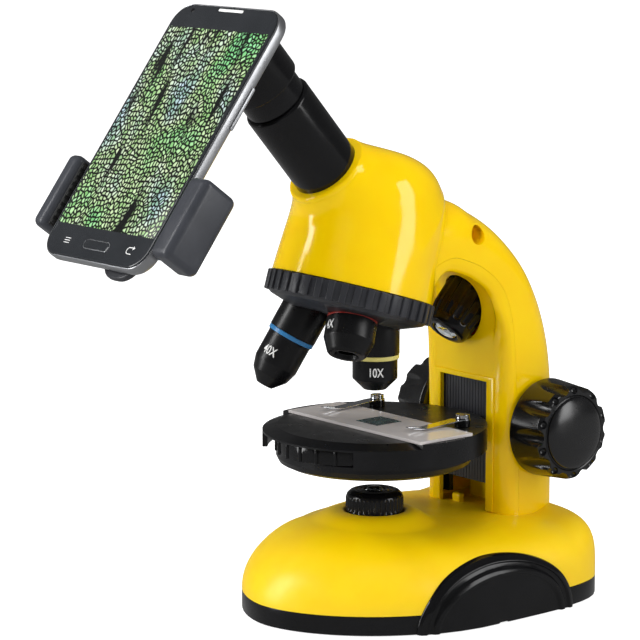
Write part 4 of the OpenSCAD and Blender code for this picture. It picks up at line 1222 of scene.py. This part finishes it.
# %% The phone's button and marks
BUTTON_Y = -46.4
mark_layers = [(0, -0.3), (0, 0.0), (0.03, 0.02)]
keep(stacked("button_rim", 7.5, 1.9, 1.9, [(0, -0.4), (0, 0), (0.08, 0.06)], "phone_metal",
             on_phone @ at(0, BUTTON_Y, 0)), "phone", "phone_metal")
keep(stacked("home_button", 7.25, 1.65, 1.65, [(0, -0.3), (0, 0.06), (0.12, 0.12)], "phone_glass",
             on_phone @ at(0, BUTTON_Y, 0)), "phone", "phone_glass", "phone_button")
bar = stacked("menu_icon", 1.6, 0.13, 0.12, mark_layers, "white_print")
bars = repeated(bar, row_tree, "white_print", on_phone @ at(-17.5, BUTTON_Y - 0.9, 0), Count=3,
                Step=(0, 0.9 * MM, 0))
keep(bars, "phone", None)
keep(stacked("earpiece", 7, 0.55, 0.55, mark_layers, "white_print", on_phone @ at(1, 50.6, 0)), "phone", None)
eye = stacked("front_camera", 0.9, 0.9, 0.9, mark_layers, "black_gloss", on_phone @ at(-20.5, 49.6, 0))
keep(eye, "phone", "black_gloss")


def return_icon():
    """A U-turn arrow: a half ring with two straight ends and a point."""
    turn = [math.radians(a) for a in np.linspace(-90, 90, 17)]
    outer = [(-1.2, -1.15)] + [(0.4 + 1.15 * math.cos(a), 1.15 * math.sin(a)) for a in turn]
    inner = [(0.4 + 0.9 * math.cos(a), 0.9 * math.sin(a)) for a in reversed(turn)] + [(-1.2, -0.9)]
    tip = [(-1.0, 1.15), (-1.0, 1.6), (-1.9, 0.97), (-1.0, 0.35), (-1.0, 0.9)]
    outline = [(-x, y) for x, y in outer + tip + inner]
    return layered("return_icon", [[(x, y, z) for x, y in outline] for z in (-0.2, 0.01)], "white_print",
                   on_phone @ at(19.2, BUTTON_Y + 0.4, 0) @ Matrix.Scale(1.2, 4))


keep(return_icon(), "phone", None)

# %% [markdown]
# ## Stage
# The stage is a black disc on the focus slider, with a filter wheel under its deck, two spring clips
# and a slide. Their shapes are already right in the CAD model, so each is a copy of its node with
# merged faces and a small bevel: the light on these narrow edges is what makes plastic look moulded.

# %% The stage and what lies on it
for node, name, slot, edge, body in (
        ("stage_top", "stage_deck", "black_satin", 0.5, "stage"),
        ("stage_under", "stage_bowl", "black_satin", 0.5, "stage"),
        ("stage_arm", "stage_bracket", "black_satin", 0.8, "stage"),
        ("stage_slider", "ribbed_slider", "dark_grey", 0.12, "stage"),
        ("clip_posts", "clip_pillars", "black_gloss", 0.25, "stage"),
        ("clip_screws", "clip_screw_heads", "chrome", 0.2, "stage"),
        ("clip_right", "leaf_right", "chrome", 0.1, "right_clip"),
        ("clip_left", "leaf_left", "chrome", 0.1, "left_clip"),
        ("specimen_slide", "glass_slide", "slide_glass", 0.15, "slide"),
        ("cover_slip", "stained_specimen", "specimen", 0.04, "slide")):
    keep(softened(node, name, slot, edge, 3, crease=13), body, slot, node)

# %% The filter wheel
keep(softened("filter_wheel", "filter_disc", "black_gloss", 0.15), "filter", "black_gloss", "filter_wheel")

# %% [markdown]
# ## Focus knobs
# Each knob is turned, and ten scallops are milled into its rim by a round cutter that leans, so they
# run out towards the back in a point. For every direction the cutter's near side is a distance from
# the axis, and the turned radius is simply kept below it. Round dimples at the ends of the ridges
# are a ring of balls, repeated by the ring tree and cut away.

# %% The knobs
def scallops(count, cutter, edge, deep):
    """A limit for a turned form: round grooves of depth deep(z) in a rim of radius edge(z)."""
    def limit(angles, z):
        pitch = 2 * math.pi / count
        off = angles % pitch - pitch / 2
        rim, far = edge(z), edge(z) - deep(z) + cutter
        near = far * np.cos(off) - np.sqrt(np.maximum(0, cutter ** 2 - (far * np.sin(off)) ** 2))
        blunt = 0.4
        share = np.clip(0.5 + 0.5 * (near - rim) / blunt, 0, 1)
        return lerp(near, rim, share) - blunt * share * (1 - share)

    return limit


def filled(line, step):
    """The closed line with points added, so that no stretch is longer than step."""
    out = []
    for a, b in zip(line, list(line[1:]) + [line[0]]):
        a, b = np.array(a, float), np.array(b, float)
        n = max(1, math.ceil(np.hypot(*(b - a)) / step))
        out += [lerp(a, b, i / n) for i in range(n)]
    return out


KNOB_R, KNOB_X, CAP_R = 18.8, 24.7, 13.6
rim = [(SHAFT_HOLE, 0), (KNOB_R - 1.2, 0), (KNOB_R, 1.2), (KNOB_R - 0.9, 15), (KNOB_R - 2.1, 16.6),
       (CAP_R + 0.9, 16.6), (CAP_R + 0.4, 16), (CAP_R, 16.4)]
quarter = np.radians(np.linspace(0, 90, 15))[:-1]
cap = [(CAP_R * math.cos(a), 16.9 + 2.9 * math.sin(a) ** 1.2) for a in quarter]
knob_profile = filled(eased(rim, 0.35)[2:] + cap + [(0, 19.8), (0, 15), (SHAFT_HOLE, 15)], 0.9)
ball = [(1.6 * math.sin(a), -1.6 * math.cos(a)) for a in np.radians(np.linspace(0, 180, 13))]
for side, label in ((1, "right"), (-1, "left")):
    place = at(side * KNOB_X, KNOB_Y, KNOB_Z) @ turn_y(side * 90)
    grooves = scallops(10, 3.4, lambda z: KNOB_R - 0.065 * max(0, z - 1.2),
                       lambda z: lerp(-0.5, 2.3, float(ease((z - 1.5) / 14) ** 0.6)))
    knob = turned(f"knob_{label}", knob_profile, "knob_gloss", place, 360, CREASE, grooves)
    dimples = repeated(turned("dimples", ball, "knob_gloss", None, 24), ring_tree, "knob_gloss",
                       place @ at(0, 0, 16.4), Count=10, Radius=(KNOB_R - 2.3) * MM)
    cut(knob, dimples)
    smooth(knob)
    keep(knob, "focus", "black_gloss", f"focus_knob_{label}")

# %% [markdown]
# ## Lamps
# Two small lamps light the slide, one from the arch and one from below. Their barrels are turned
# and fluted for the fingers, with the same limit that the knobs use. In the upper one a faceted
# chrome dish sits behind the clear lens, with a faint white glow that is a painted glint, and the
# lower one's lens lies in concentric rings.

# %% The lamps
def upper_edge(z):
    return float(np.interp(z, (1.9, 9, 24), (8.6, 9.7, 9.7)))


barrel = [(5, 2.4), (5, 0.4), (5.5, 0), (7.2, 0), (8.2, 0.7), (8.6, 1.9), (9.7, 9), (9.7, 24),
          (4, 24), (4, 29), (0, 29), (0, 2.4)]
flutes = scallops(16, 2.0, upper_edge, lambda z: lerp(-0.5, 0.8, float(ease((z - 3) / 1.6))))
fine = filled(eased(barrel, 0.35), 0.7)
keep(turned("arch_lamp", fine, "black_gloss", on_lamp, 384, CREASE, flutes), "top_lamp", "black_gloss",
     "upper_lamp")
lens_shape = [(0, -0.9), (2.6, -0.6), (4.2, 0.1), (4.95, 0.9), (4.95, 1.2), (1.3, 2.1), (0, 2.15)]
keep(turned("lamp_lens", eased(lens_shape, 0.5), "lens_glass", on_lamp), "top_lamp", "lens_glass",
     "upper_lens")
dish = [(0, 2.2), (1.3, 2.15), (4.9, 1.25), (4.95, 2.38), (0, 2.38)]
# the dish's faint glow is a painted glint, not light given by the lamp
keep(turned("lamp_mirror", dish, "reflector", on_lamp, 12, 10), "top_lamp", "chrome")
LOW_R, LOW_TOP = 10.9, 43.7
groove = ((0.35, 0), (0.15, 0.3), (-0.15, 0.3), (-0.35, 0))
rings = [(r + d, LOW_TOP - g) for r in (6.9, 5.4) for d, g in groove]
barrel = [(0, 13.2), (4, 13.2), (4, 31.3), (LOW_R, 31.3), (LOW_R, 40.7), (10.4, 42.2), (9.2, 43.3),
          (7.9, LOW_TOP)]
barrel += rings + [(4.4, LOW_TOP), (3.9, 43.2), (3.4, 43.2), (3.4, 41.2), (0, 41.2)]
flutes = scallops(36, 0.8, lambda z: LOW_R, lambda z: 0.42 if 36 < z < 41.4 else -1)
fine = filled(eased(barrel, 0.3), 0.8)
keep(turned("table_lamp", fine, "black_gloss", None, 432, CREASE, flutes), "base_lamp", "black_gloss",
     "lower_lamp")
bulb = [(0, 41.3), (3.3, 41.3), (3.3, 43.6), (2.6, 44.4), (1.4, 44.8), (0, 44.9)]
keep(turned("table_lamp_lens", eased(bulb, 0.4), "lens_glass"), "base_lamp", "lens_glass", "lower_lens")

# %% [markdown]
# ## Feet
# Five rubber feet lift the base by less than half a millimetre. One foot is turned, and a tree that
# copies it onto a handful of loose points sets all five.

# %% The feet
spots = bpy.data.meshes.new("spots")
places = ((-25, -35), (25, -35), (-36, 64), (36, 64), (0, 0))
spots.from_pydata([(x * MM, y * MM, 0) for x, y in places], [], [])
marks = add_object("spots", spots)
pad_line = eased([(0, 0), (5.3, 0), (5.5, 0.3), (5.5, 0.8), (0, 0.8)], 0.2)
foot = turned("rubber_pads", pad_line, "black_rubber", None, 48)
keep(repeated(foot, spots_tree, "black_rubber", Matrix.Identity(4), Spots=marks), "frame", "black_rubber",
     "rubber_feet")
bpy.data.objects.remove(marks)

# %% [markdown]
# ## Finishes for the pieces left as CAD
# Parts that are hidden, or whose CAD form is already right, keep their CAD mesh. Each gets the
# finish of its own slot, so that nothing shows a plain colour when a lid is off or a jaw is open.

# %% Finishes for the rest
slot_of = {row["node"]: row["material_slot"] for row in frame["record"]["subparts"]}
for name, obj in nodes.items():
    if not obj.material_slots:
        obj.data.materials.append(None)
    for spot in obj.material_slots:
        spot.material = finishes[slot_of[name]]
print("CAD finishes set on", len(nodes), "nodes")
